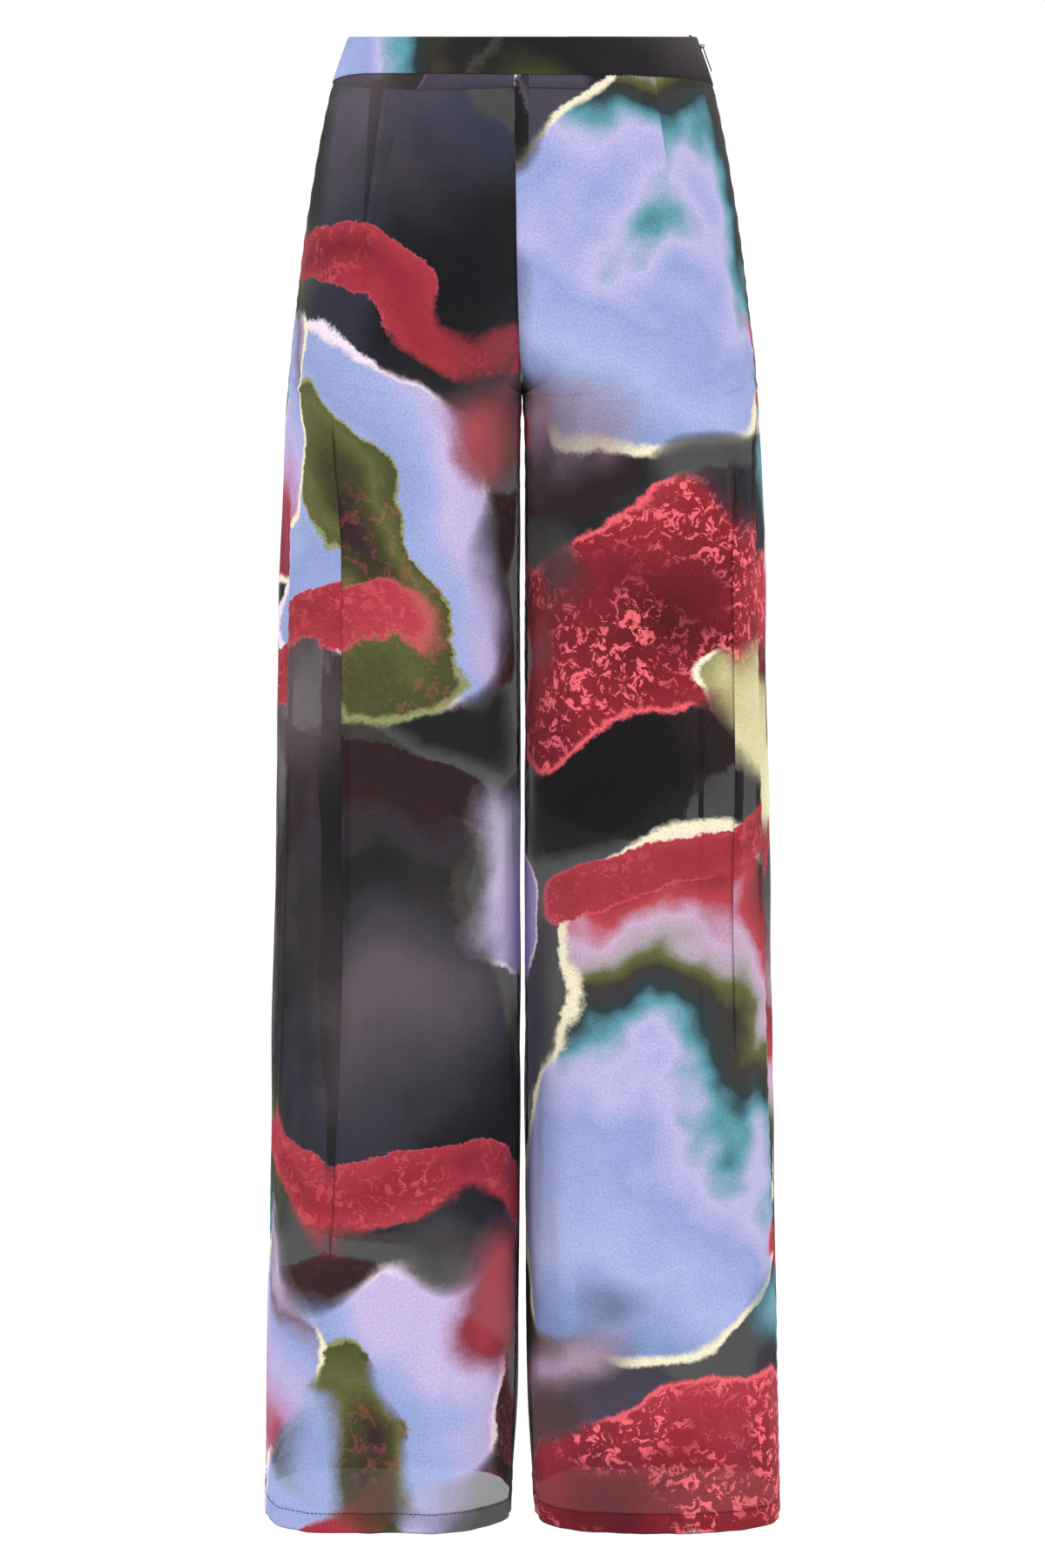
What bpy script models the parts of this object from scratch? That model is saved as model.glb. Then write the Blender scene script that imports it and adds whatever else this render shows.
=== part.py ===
"""Straight-leg trousers in sheer woven cloth, filled out as if worn and empty inside.

Metres, +Z up. The front faces -Y and the wearer's left is +X. The origin is the centre of the waist,
halfway up the waistband at the side. A drop is how far a point lies below the band's top edge at the side,
so every height is worked out from a drop. A run is a distance along a level section of one half of the
garment, from the centre front or inner leg, round the side, to the centre back or inner leg.
"""

import math
from collections import namedtuple

import bmesh
import bpy
import numpy as np
from mathutils import Matrix, Vector

# Main sizes
OUTSEAM = 1.081
RISE = 0.2552
ORIGIN_DROP = 0.017
PARTING_DROP = 0.060
PARTING_LATE = 2.8

# Cloth
CLOTH = 0.0012
TURNED_CLOTH = 0.0022
SEAM_GAP = 0.0003
BAND_SEAM_GAP = 0.0006
LAID_GAP = 0.0009
HEM_DEPTH = 0.018
HEM_STEP = 0.002
SIDE_ALLOWANCE = 0.0095
ALLOWANCE_STEP = 0.0012
CENTRE_ALLOWANCE_TOP = 0.0105
CENTRE_ALLOWANCE_CROTCH = 0.0065

# Waistband
BAND_WALL = 0.0024
BAND_PROUD = 0.0006
BAND_EDGE_ROLL = 0.0012
BAND_COLUMNS_HALF = 36
PANEL_TOP_DROP = 0.034
PANEL_TOP_FADE = 0.100

# Zip in the wearer's left side seam
ZIP_HALF_GAP = 0.0007
ZIP_TOP_DROP = 0.000
ZIP_END_DROP = 0.168
TAPE_WIDTH = 0.012
TAPE_INSET = BAND_WALL - BAND_PROUD + LAID_GAP
TAPE_THICK = 0.0008
TAPE_ROWS = 12
SLIDER_DROP = 0.008
SLIDER_WIDTH = 0.0056
SLIDER_HEIGHT = 0.0085
SLIDER_THICK = 0.0020
SLIDER_NOSE = 0.6
ARCH_THICK = 0.0008
ARCH_HOLE = 0.0009
ARCH_RIM = 0.0006
ARCH_STANDOFF = 0.0016
ARCH_SIDES = 12
PULL_THICK = 0.0009
PULL_WIDTH = 0.0046
PULL_NECK_WIDTH = 0.0040
PULL_LENGTH = 0.0190
PULL_WINDOW_WIDTH = 0.0020
PULL_WINDOW_LENGTH = 0.0030
PULL_SAG = 0.0002
PULL_ROUND_STEPS = 6

# A level section at each drop. outer is the half-width at the side and inner is the distance of the inner
# leg from the centre plane. corner is where the flat front and back end and the round side begins. front
# and back are the depths before and behind the centre, square is the exponent of the rounded corners, and
# seam is how far in front of the widest point the side seam lies.
Section = namedtuple("Section", "drop outer inner corner front back square seam")
SECTIONS = (
    Section(-0.006, 0.1226, 0.0003, 0.000, 0.0905, 0.0945, 2.10, 0.008),
    Section(0.000, 0.1247, 0.0003, 0.000, 0.0930, 0.0970, 2.10, 0.008),
    Section(0.034, 0.1366, 0.0003, 0.008, 0.1000, 0.1075, 2.15, 0.009),
    Section(0.073, 0.1455, 0.0003, 0.026, 0.1065, 0.1190, 2.25, 0.010),
    Section(0.110, 0.1520, 0.0003, 0.044, 0.1110, 0.1270, 2.35, 0.013),
    Section(0.150, 0.1580, 0.0003, 0.060, 0.1140, 0.1320, 2.50, 0.018),
    Section(0.190, 0.1628, 0.0003, 0.073, 0.1150, 0.1325, 2.65, 0.024),
    Section(0.222, 0.1665, 0.0003, 0.081, 0.1145, 0.1290, 2.70, 0.033),
    Section(0.255, 0.1696, 0.0004, 0.085, 0.1125, 0.1225, 2.75, 0.044),
    Section(0.290, 0.1721, 0.0016, 0.087, 0.1095, 0.1170, 2.75, 0.055),
    Section(0.340, 0.1744, 0.0020, 0.088, 0.1060, 0.1125, 2.70, 0.062),
    Section(0.460, 0.1777, 0.0022, 0.090, 0.1005, 0.1060, 2.75, 0.060),
    Section(0.620, 0.1812, 0.0022, 0.092, 0.0960, 0.1000, 2.85, 0.054),
    Section(0.780, 0.1847, 0.0023, 0.094, 0.0915, 0.0945, 2.95, 0.047),
    Section(0.900, 0.1873, 0.0034, 0.096, 0.0885, 0.0905, 3.10, 0.034),
    Section(1.000, 0.1898, 0.0050, 0.098, 0.0865, 0.0875, 3.20, 0.024),
    Section(1.081, 0.1920, 0.0085, 0.101, 0.0850, 0.0850, 3.35, 0.020),
)

# The waistband's bottom edge on each side of the garment, as drops. turn is 0 at the centre front, 0.5 at
# the side and 1 at the centre back. Its top edge lies in one plane that leans down toward the front.
BandBottom = namedtuple("BandBottom", "turn left right")
BAND_BOTTOMS = (
    BandBottom(0.00, 0.0325, 0.0325),
    BandBottom(0.18, 0.0325, 0.0313),
    BandBottom(0.34, 0.0328, 0.0297),
    BandBottom(0.50, 0.0345, 0.0325),
    BandBottom(0.75, 0.0325, 0.0325),
    BandBottom(1.00, 0.0300, 0.0300),
)
BAND_TOP_LEAN = 0.0667

# The stitched line of the dart on each panel, and the line of the long pleat further down, as distances
# from the centre plane.
Line = namedtuple("Line", "drop front_left front_right back_left back_right")
DART_LINES = (
    Line(0.000, 0.0900, 0.1050, 0.0965, 0.0965),
    Line(0.034, 0.0937, 0.1075, 0.1000, 0.1000),
    Line(0.155, 0.1080, 0.1125, 0.1150, 0.1150),
    Line(0.255, 0.1130, 0.1130, 0.1160, 0.1160),
    Line(1.081, 0.1120, 0.1080, 0.1160, 0.1160),
)
PLEAT_LINES = (
    Line(0.000, 0.1100, 0.1170, 0.1110, 0.1110),
    Line(0.034, 0.1190, 0.1230, 0.1180, 0.1180),
    Line(0.110, 0.1340, 0.1290, 0.1270, 0.1270),
    Line(0.190, 0.1430, 0.1320, 0.1300, 0.1300),
    Line(0.340, 0.1490, 0.1335, 0.1330, 0.1310),
    Line(0.700, 0.1520, 0.1365, 0.1350, 0.1330),
    Line(1.081, 0.1540, 0.1400, 0.1370, 0.1350),
)

# Soft folds. A fold runs down its panel from top to bottom, beside or off the panel's line by shift. It
# stands high out of the cloth, with one flank inner wide and the other outer wide.
Fold = namedtuple("Fold", "panel shift top bottom inner outer high")
FOLDS = (
    Fold("front_right", 0.000, 0.20, 0.84, 0.0045, 0.0170, 0.0068),
    Fold("front_left", 0.000, 0.23, 0.78, 0.0045, 0.0140, 0.0062),
    Fold("back_right", 0.000, 0.24, 0.90, 0.0110, 0.0180, 0.0045),
    Fold("back_left", 0.000, 0.22, 0.86, 0.0110, 0.0200, 0.0050),
    Fold("front_right", 0.010, 0.70, 1.20, 0.0200, 0.0160, 0.0040),
    Fold("front_right", -0.078, 0.56, 1.20, 0.0240, 0.0220, 0.0032),
    Fold("front_left", -0.050, 0.46, 1.20, 0.0220, 0.0240, 0.0036),
    Fold("front_left", -0.110, 0.62, 1.20, 0.0180, 0.0220, 0.0026),
    Fold("back_right", -0.082, 0.45, 1.20, 0.0240, 0.0240, 0.0034),
    Fold("back_left", -0.085, 0.52, 1.20, 0.0240, 0.0220, 0.0034),
    Fold("back_left", 0.018, 0.62, 1.20, 0.0180, 0.0200, 0.0032),
    Fold("back_right", 0.016, 0.66, 1.20, 0.0180, 0.0200, 0.0030),
)
FOLD_FADE = 0.16

# Darts. The wedge of cloth taken in lies behind the panel, on the centre side of its stitched line.
Dart = namedtuple("Dart", "name panel tip wide")
DARTS = (
    Dart("front_dart_left", "front_left", 0.155, 0.0140),
    Dart("front_dart_right", "front_right", 0.160, 0.0130),
    Dart("back_dart_left", "back_left", 0.140, 0.0150),
    Dart("back_dart_right", "back_right", 0.140, 0.0150),
)
DART_THICK = 0.0010
DART_TIP_WIDE = 0.0012
DART_ROWS = 8

# The centre front seam is sewn a little toward the wearer's right, less so lower down.
Drift = namedtuple("Drift", "drop aside")
CENTRE_DRIFT = (
    Drift(0.000, 0.0059),
    Drift(0.034, 0.0058),
    Drift(0.123, 0.0044),
    Drift(0.167, 0.0038),
    Drift(0.210, 0.0027),
    Drift(0.240, 0.0018),
    Drift(0.262, 0.0006),
    Drift(0.290, 0.0000),
    Drift(1.081, 0.0000),
)
DRIFT_WIDE = 0.040

# Drops of the panels' rows: closer where the crotch curve turns under.
ROW_DROPS = (
    *(0.034, 0.060, 0.088, 0.116, 0.144, 0.170, 0.194, 0.214, 0.230, 0.241, 0.2485, 0.2530, RISE),
    *(0.262, 0.280, 0.310, 0.350, 0.410, 0.480, 0.560, 0.640, 0.720, 0.800, 0.880, 0.950, 1.010),
    *(OUTSEAM - HEM_DEPTH - HEM_STEP, OUTSEAM - HEM_DEPTH, OUTSEAM),
)
INNER_LINE = 0.040
QUARTER_POINTS = 40
BEND_SHARE = 0.9


def along(table, column, at):
    """The smooth value of a table's column at a place in its first column, through every row."""
    places = np.array([row[0] for row in table])
    values = np.array([getattr(row, column) for row in table])
    steps = np.diff(values) / np.diff(places)
    slopes = np.concatenate([steps[:1], (steps[:-1] + steps[1:]) / 2, steps[-1:]])
    flat = np.concatenate([[False], steps[:-1] * steps[1:] <= 0, [False]])
    slopes[flat] = 0
    at = min(max(at, places[0]), places[-1])
    i = min(int(np.searchsorted(places, at, side="right")) - 1, len(steps) - 1)
    width = places[i + 1] - places[i]
    t = (at - places[i]) / width
    return float(
        values[i] * (1 + 2 * t) * (1 - t) ** 2
        + slopes[i] * width * t * (1 - t) ** 2
        + values[i + 1] * t * t * (3 - 2 * t)
        + slopes[i + 1] * width * t * t * (t - 1)
    )


def smooth_step(value, start, end):
    t = min(max((value - start) / (end - start), 0.0), 1.0)
    return t * t * (3 - 2 * t)


class LevelSection:
    """The wearer's left half of the garment's outer face at one drop, as a line in plan with its runs."""

    def __init__(self, drop):
        self.drop = drop
        outer, inner, corner, front, back, square, seam = (
            along(SECTIONS, column, drop) for column in Section._fields[1:]
        )
        inner = inner if drop > RISE else SEAM_GAP / 2
        corner = max(corner, inner)
        parting = (drop - PARTING_DROP) / (RISE - PARTING_DROP)
        parted = smooth_step(max(parting, 0.0) ** PARTING_LATE, 0.0, 1.0)
        lobe = inner + parted * (corner - inner)
        first = math.asin(parted ** (square / 2))
        turned = np.linspace(first, 0, QUARTER_POINTS)
        round_side = np.linspace(0, math.pi / 2, QUARTER_POINTS)
        power = 2 / square
        front_inner = np.stack(
            [lobe - (corner - inner) * np.sin(turned) ** power, -front * np.cos(turned) ** power], 1
        )
        front_outer = np.stack(
            [corner + (outer - corner) * np.sin(round_side) ** power,
             -front * np.maximum(np.cos(round_side), 0) ** power], 1
        )
        back_outer = front_outer[::-1] * (1, -back / front)
        back_inner = front_inner[::-1] * (1, -back / front)
        points = np.concatenate([front_inner, front_outer, back_outer, back_inner])
        lengths = np.linalg.norm(np.diff(points, axis=0), axis=1)
        kept = np.concatenate([[True], lengths > 1e-7])
        self.points = points[kept]
        steps = np.linalg.norm(np.diff(self.points, axis=0), axis=1)
        self.runs = np.concatenate([[0.0], np.cumsum(steps)])
        self.total = float(self.runs[-1])
        heading = np.unwrap(np.arctan2(*np.diff(self.points, axis=0).T[::-1]))
        bends = np.concatenate([[0.0], np.cumsum(np.abs(np.diff(heading)))])
        self.spacing = self.runs / self.total
        self.spacing[1:] += BEND_SHARE * bends / math.pi
        self.widest = int(np.argmax(self.points[:, 0]))
        corner_on = slice(int(np.argmin(self.points[:, 1])), self.widest + 1)
        self.side_run = float(np.interp(-seam, self.points[corner_on, 1], self.runs[corner_on]))

    def point(self, run):
        """The plan point at a run."""
        return np.array([np.interp(run, self.runs, self.points[:, i]) for i in (0, 1)])

    def outward(self, run):
        """The unit vector out of the cloth at a run."""
        reach = 0.0015
        ahead = self.point(min(run + reach, self.total)) - self.point(max(run - reach, 0.0))
        return np.array([ahead[1], -ahead[0]]) / np.linalg.norm(ahead)

    def run_at(self, distance, half):
        """The run on the front or back half that lies at this distance from the centre plane."""
        if half == "front":
            part = slice(0, self.widest + 1)
            return float(np.interp(distance, self.points[part, 0], self.runs[part]))
        part = slice(self.widest, None)
        return float(np.interp(-distance, -self.points[part, 0], self.runs[part]))


def band_edges(side_name, turn):
    """The drops of the band's top and bottom edges on one side of the garment."""
    waist = section_at(0.0)
    top = -BAND_TOP_LEAN * waist.point(turn * waist.total)[1]
    return float(top), along(BAND_BOTTOMS, side_name, turn)


def fold_height(panel, distance, drop):
    """How far the soft folds push the cloth of a panel out at a place."""
    height = 0.0
    for fold in FOLDS:
        if fold.panel != panel:
            continue
        off = distance - along(PLEAT_LINES, panel, drop) - fold.shift
        flank = fold.outer if off > 0 else fold.inner
        fade = smooth_step(drop, fold.top, fold.top + FOLD_FADE)
        fade *= 1 - smooth_step(drop, fold.bottom - FOLD_FADE, fold.bottom)
        height += fold.high * fade * math.exp(-((off / flank) ** 2))
    return height


def centre_drift(panel, x, drop):
    """How far aside the cloth of a front panel lies near the centre front seam."""
    if not panel.startswith("front"):
        return 0.0
    return -along(CENTRE_DRIFT, "aside", drop) * math.exp(-((x / DRIFT_WIDE) ** 2))


def cloth_point(panel, section, run, out):
    """A point of a panel in space, at a run and so far out of its outer face."""
    x, y = section.point(run)
    nx, ny = section.outward(run)
    out += fold_height(panel, x, section.drop)
    side = 1 if panel.endswith("left") else -1
    x, y = side * (x + nx * out), y + ny * out
    return (x + centre_drift(panel, x, section.drop), y, ORIGIN_DROP - section.drop)


def wall(name, outside, inside, colour, roughness, metallic=0.0):
    """A closed wall between two grids of points, each a list of rows of the same size."""
    rows, columns = len(outside), len(outside[0])
    mesh = bmesh.new()
    grids = [[[mesh.verts.new(p) for p in row] for row in grid] for grid in (outside, inside)]
    rim = (
        [(0, j) for j in range(columns)]
        + [(i, columns - 1) for i in range(1, rows)]
        + [(rows - 1, j) for j in range(columns - 2, -1, -1)]
        + [(i, 0) for i in range(rows - 2, 0, -1)]
    )
    for grid in grids:
        for i in range(rows - 1):
            for j in range(columns - 1):
                mesh.faces.new((grid[i][j], grid[i][j + 1], grid[i + 1][j + 1], grid[i + 1][j]))
    for (i, j), (k, m) in zip(rim, rim[1:] + rim[:1]):
        mesh.faces.new((grids[0][i][j], grids[0][k][m], grids[1][k][m], grids[1][i][j]))
    return as_object(name, mesh, colour, roughness, metallic)


def as_object(name, mesh, colour, roughness, metallic=0.0, at=None):
    """The bmesh as a named object with its own material, its faces pointing out."""
    bmesh.ops.recalc_face_normals(mesh, faces=mesh.faces)
    data = bpy.data.meshes.new(name)
    mesh.to_mesh(data)
    mesh.free()
    data.shade_smooth()
    data.set_sharp_from_angle(angle=math.radians(40))
    thing = bpy.data.objects.new(name, data)
    bpy.context.scene.collection.objects.link(thing)
    if at is not None:
        thing.matrix_world = at
    material = bpy.data.materials.new(name)
    material.use_nodes = True
    shader = material.node_tree.nodes["Principled BSDF"]
    shader.inputs["Base Color"].default_value = (*colour, 1)
    shader.inputs["Roughness"].default_value = roughness
    shader.inputs["Metallic"].default_value = metallic
    data.materials.append(material)
    return thing


def spread(section, marks, counts):
    """The marks, which are runs, and counts of runs in each stretch between them, closer at bends."""
    runs = []
    for a, b, count in zip(marks[:-1], marks[1:], counts):
        ends = np.interp((a, b), section.runs, section.spacing)
        inner = np.interp(np.linspace(*ends, count + 1), section.spacing, section.runs)
        runs += [a, *map(float, inner[1:-1])]
    return [*runs, marks[-1]]


def side_trim(panel, section):
    """How far a panel's side edge lies from the side seam: further along the zip."""
    along_zip = panel.endswith("left") and section.drop < ZIP_END_DROP
    return ZIP_HALF_GAP if along_zip else SEAM_GAP / 2


def front_runs(panel, section):
    """The runs of a front panel's columns, and whether each one has an allowance behind it."""
    trim = SEAM_GAP / 2 if section.drop >= RISE else 0.0
    last = section.side_run - side_trim(panel, section)
    side = last - SIDE_ALLOWANCE
    share = min(max(section.drop / RISE, 0.0), 1.0)
    centre = CENTRE_ALLOWANCE_TOP + (CENTRE_ALLOWANCE_CROTCH - CENTRE_ALLOWANCE_TOP) * share
    dart = section.run_at(along(DART_LINES, panel, section.drop), "front")
    pleat = section.run_at(along(PLEAT_LINES, panel, section.drop), "front")
    pleat = min(pleat, side - 0.010)
    marks = [trim, centre, centre + ALLOWANCE_STEP, section.run_at(INNER_LINE, "front")]
    marks += [dart - 0.014, dart, pleat - 0.005, pleat, side - ALLOWANCE_STEP, side, last]
    runs = spread(section, marks, (1, 1, 5, 3, 1, 2, 1, 6, 1, 1))
    centre_layers = panel == "front_left" and section.drop < RISE
    turned = [centre_layers and run <= centre + 1e-6 for run in runs]
    turned[-2:] = [True, True]
    return runs, turned


def back_runs(panel, section):
    """The runs of a back panel's columns. Its side allowance lies on the front panel."""
    first = section.side_run + side_trim(panel, section)
    trim = SEAM_GAP / 2 if section.drop >= RISE else 0.0
    last = section.total - trim
    dart = section.run_at(along(DART_LINES, panel, section.drop), "back")
    marks = [first, dart, dart + 0.015, section.run_at(INNER_LINE, "back"), last - 0.012, last]
    runs = spread(section, marks, (10, 1, 2, 5, 1))
    return runs, [False] * len(runs)


def panel_wall(panel, colour):
    """A leg panel from the waistband to the hem: its outer face, and the inner face behind it."""
    half, side_name = panel.split("_")
    runs_of = front_runs if half == "front" else back_runs
    top = section_at(PANEL_TOP_DROP)
    turns = [run / top.total for run in runs_of(panel, top)[0]]
    lifts = [band_edges(side_name, turn)[1] + BAND_SEAM_GAP - PANEL_TOP_DROP for turn in turns]
    outside, inside = [], []
    for row_drop in ROW_DROPS:
        fade = max(0.0, 1 - (row_drop - PANEL_TOP_DROP) / PANEL_TOP_FADE)
        outer_row, inner_row = [], []
        for column, lift in enumerate(lifts):
            section = section_at(row_drop + lift * fade)
            runs, turned = runs_of(panel, section)
            hem = row_drop >= OUTSEAM - HEM_DEPTH - 1e-6
            thick = TURNED_CLOTH if hem or turned[column] else CLOTH
            outer_row.append(cloth_point(panel, section, runs[column], 0.0))
            inner_row.append(cloth_point(panel, section, runs[column], -thick))
        outside.append(outer_row)
        inside.append(inner_row)
    return wall(panel, outside, inside, colour, 0.7)


SECTION_STORE = {}


def section_at(drop):
    """The level section at a drop, worked out once."""
    key = round(drop, 6)
    if key not in SECTION_STORE:
        SECTION_STORE[key] = LevelSection(key)
    return SECTION_STORE[key]


def dart_wall(dart):
    """The wedge of cloth that a dart takes in, pressed toward the centre behind its panel."""
    half = "front" if dart.panel.startswith("front") else "back"
    toward_centre = -1 if half == "front" else 1
    outside, inside = [], []
    for row in range(DART_ROWS + 1):
        drop = PANEL_TOP_DROP + 0.001 + (dart.tip - PANEL_TOP_DROP) * row / DART_ROWS
        section = section_at(drop)
        line = section.run_at(along(DART_LINES, dart.panel, drop), half)
        wide = dart.wide + (DART_TIP_WIDE - dart.wide) * row / DART_ROWS
        runs = [line, line + toward_centre * wide]
        near = -(CLOTH + LAID_GAP)
        outside.append([cloth_point(dart.panel, section, run, near) for run in runs])
        inside.append([cloth_point(dart.panel, section, run, near - DART_THICK) for run in runs])
    return wall(dart.name, outside, inside, (0.05, 0.05, 0.055), 0.7)


def band_stations():
    """The band's columns from the zip forward and round to the zip again, as the side of the garment, the
    part of that side's half, and how far along the part from the centre front or to the centre back."""
    quarter = BAND_COLUMNS_HALF // 2
    stations = [("left", "front", 1 - i / quarter) for i in range(quarter)]
    stations += [("right", "whole", i / BAND_COLUMNS_HALF) for i in range(BAND_COLUMNS_HALF)]
    return stations + [("left", "back", 1 - i / quarter) for i in range(quarter + 1)]


def band_run(section, part, share):
    """The run of a station of the band at one level."""
    if part == "front":
        return share * (section.side_run - ZIP_HALF_GAP)
    if part == "whole":
        return share * section.total
    first = section.side_run + ZIP_HALF_GAP
    return first + share * (section.total - first)


def band_point(station, drop, out):
    """A point of the waistband at a station, so far out of the garment's outer face."""
    side_name, part, share = station
    section = section_at(drop)
    run = band_run(section, part, share)
    x, y = section.point(run)
    nx, ny = section.outward(run)
    if run in (0.0, section.total):
        return (0.0, y + out * math.copysign(1, y), ORIGIN_DROP - drop)
    side = 1 if side_name == "left" else -1
    return (side * (x + nx * out), y + ny * out, ORIGIN_DROP - drop)


def waistband():
    """The doubled band, folded over at its top edge and open at the zip."""
    waist = section_at(0.0)
    outside, inside = [], []
    rolled = BAND_WALL / 3
    for level in range(5):
        outer_row, inner_row = [], []
        for station in band_stations():
            turn = band_run(waist, *station[1:]) / waist.total
            top, bottom = band_edges(station[0], turn)
            below_roll = top + BAND_EDGE_ROLL
            drop = top if level == 0 else below_roll + (bottom - below_roll) * (level - 1) / 3
            proud = BAND_PROUD - (rolled if level == 0 else 0)
            deep = BAND_PROUD - BAND_WALL + (rolled if level == 0 else 0)
            outer_row.append(band_point(station, drop, proud))
            inner_row.append(band_point(station, drop, deep))
        outside.append(outer_row)
        inside.append(inner_row)
    return wall("waistband", outside, inside, (0.02, 0.02, 0.022), 0.6)


def zip_tape(half):
    """One tape of the concealed zip, flat against the inside from the band down to the zip's end."""
    toward = -1 if half == "front" else 1
    outside, inside = [], []
    for row in range(TAPE_ROWS + 1):
        drop = ZIP_TOP_DROP + (ZIP_END_DROP + 0.006 - ZIP_TOP_DROP) * row / TAPE_ROWS
        section = section_at(drop)
        near, far = [], []
        for across in (0.0, 0.5, 1.0):
            run = section.side_run + toward * (ZIP_HALF_GAP + TAPE_WIDTH * across)
            x, y = section.point(run)
            nx, ny = section.outward(run)
            for out, line in ((-TAPE_INSET, near), (-TAPE_INSET - TAPE_THICK, far)):
                line.append((x + nx * out, y + ny * out, ORIGIN_DROP - drop))
        outside.append(near)
        inside.append(far)
    return wall(f"zip_tape_{half}", outside, inside, (0.10, 0.10, 0.105), 0.8)


def zip_frame():
    """The slider's own frame: its origin on the band's outer face at the side seam, +Y straight out of the
    band, +Z up along it and +X along the band toward the front."""
    reach = 0.006
    low, middle, high = (
        Vector((*at.point(at.side_run), ORIGIN_DROP - at.drop))
        for at in (section_at(SLIDER_DROP + d) for d in (reach, 0.0, -reach))
    )
    up = (high - low).normalized()
    section = section_at(SLIDER_DROP)
    out = Vector((*section.outward(section.side_run), 0.0))
    out = (out - out.dot(up) * up).normalized()
    turned = Matrix((out.cross(up), out, up)).transposed().to_4x4()
    return Matrix.Translation(middle + BAND_PROUD * out) @ turned


def prism(outline, low_x, high_x):
    """A closed block from an outline in the YZ plane, between two distances across."""
    mesh = bmesh.new()
    ends = [[mesh.verts.new((x, y, z)) for y, z in outline] for x in (low_x, high_x)]
    mesh.faces.new(ends[0])
    mesh.faces.new(ends[1][::-1])
    for i, j in zip(range(len(outline)), [*range(1, len(outline)), 0]):
        mesh.faces.new((ends[0][i], ends[0][j], ends[1][j], ends[1][i]))
    return mesh


def zip_slider():
    """The slider's body behind the tapes, and the arch through the gap that carries the pull. They are one
    outline in profile, with the arch's hole cut through it, so the arch is as thin as the gap allows."""
    behind = -(BAND_WALL + LAID_GAP + TAPE_THICK + SEAM_GAP)
    arch_middle = ARCH_STANDOFF
    around = ARCH_HOLE + ARCH_RIM
    turns = [math.pi / 2 - math.pi * i / ARCH_SIDES for i in range(ARCH_SIDES + 1)]
    nose = [(arch_middle + around * math.cos(a), around * math.sin(a)) for a in turns]
    arch_outline = [(behind - 0.0002, around), *nose, (behind - 0.0002, -around)]
    arch = as_object("zip_slider", prism(arch_outline, -ARCH_THICK / 2, ARCH_THICK / 2),
                     (0.02, 0.02, 0.021), 0.35, 0.6, zip_frame())
    ring = [2 * math.pi * i / ARCH_SIDES for i in range(ARCH_SIDES)]
    hole_outline = [(arch_middle + ARCH_HOLE * math.cos(a), ARCH_HOLE * math.sin(a)) for a in ring]
    hole = as_object("arch_hole", prism(hole_outline, -ARCH_THICK, ARCH_THICK),
                     (0.5, 0.5, 0.5), 0.5, 0.0, zip_frame())
    half = SLIDER_HEIGHT / 2
    nose_half = SLIDER_THICK / 2 * SLIDER_NOSE
    body_outline = [
        (behind, half), (behind, -half), (behind - nose_half, -half - 0.0004),
        (behind - SLIDER_THICK, -half), (behind - SLIDER_THICK, half),
        (behind - nose_half, half + 0.0004),
    ]
    body = as_object("slider_body", prism(body_outline, -SLIDER_WIDTH / 2, SLIDER_WIDTH / 2),
                     (0.5, 0.5, 0.5), 0.5, 0.0, zip_frame())
    for helper, operation in ((hole, "DIFFERENCE"), (body, "UNION")):
        helper.hide_render = True
        helper.display_type = "WIRE"
        cut = arch.modifiers.new(operation.lower(), "BOOLEAN")
        cut.object = helper
        cut.operation = operation
    return arch


def zip_pull():
    """The pull: a slim rounded tab with a window, whose top bar hangs in the slider's arch. Its origin is
    on the bar's axis, which it swings about."""
    bar = PULL_THICK / 2
    half_neck, half = PULL_NECK_WIDTH / 2, PULL_WIDTH / 2
    middle = PULL_LENGTH - half
    turns = [math.pi * i / PULL_ROUND_STEPS for i in range(PULL_ROUND_STEPS + 1)]
    outline = [(half_neck, bar)]
    outline += [(-half_neck, bar), (-half_neck, -PULL_WINDOW_LENGTH)]
    outline += [(-half * math.cos(a), -middle - half * math.sin(a)) for a in turns]
    outline += [(half_neck, -PULL_WINDOW_LENGTH)]
    w = PULL_WINDOW_WIDTH / 2
    window = [(w, -bar), (-w, -bar), (-w, -PULL_WINDOW_LENGTH), (w, -PULL_WINDOW_LENGTH)]
    mesh = bmesh.new()
    rings = []
    for y in (-bar, bar):
        rings.append([[mesh.verts.new((x, y, z)) for x, z in line] for line in (outline, window)])
    tab_count = len(outline)
    for outer, hole in rings:
        mesh.faces.new((outer[0], outer[1], hole[1], hole[0]))
        mesh.faces.new((outer[1], outer[2], hole[2], hole[1]))
        mesh.faces.new((outer[tab_count - 1], outer[0], hole[0], hole[3]))
        mesh.faces.new([hole[3], hole[2], *outer[2:tab_count]])
    for line in (0, 1):
        near, far = rings[0][line], rings[1][line]
        for i, j in zip(range(len(near)), [*range(1, len(near)), 0]):
            mesh.faces.new((near[i], near[j], far[j], far[i]))
    hang = zip_frame() @ Matrix.Translation((0, ARCH_STANDOFF, -PULL_SAG))
    return as_object("zip_pull", mesh, (0.02, 0.02, 0.021), 0.3, 0.7, hang)


def main():
    for thing in list(bpy.data.objects):
        bpy.data.objects.remove(thing)
    for panel in ("front_left", "front_right"):
        panel_wall(panel, (0.055, 0.052, 0.06))
    for panel in ("back_left", "back_right"):
        panel_wall(panel, (0.06, 0.055, 0.062))
    for dart in DARTS:
        dart_wall(dart)
    waistband()
    for half in ("front", "back"):
        zip_tape(half)
    zip_slider()
    zip_pull()


main()
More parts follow.
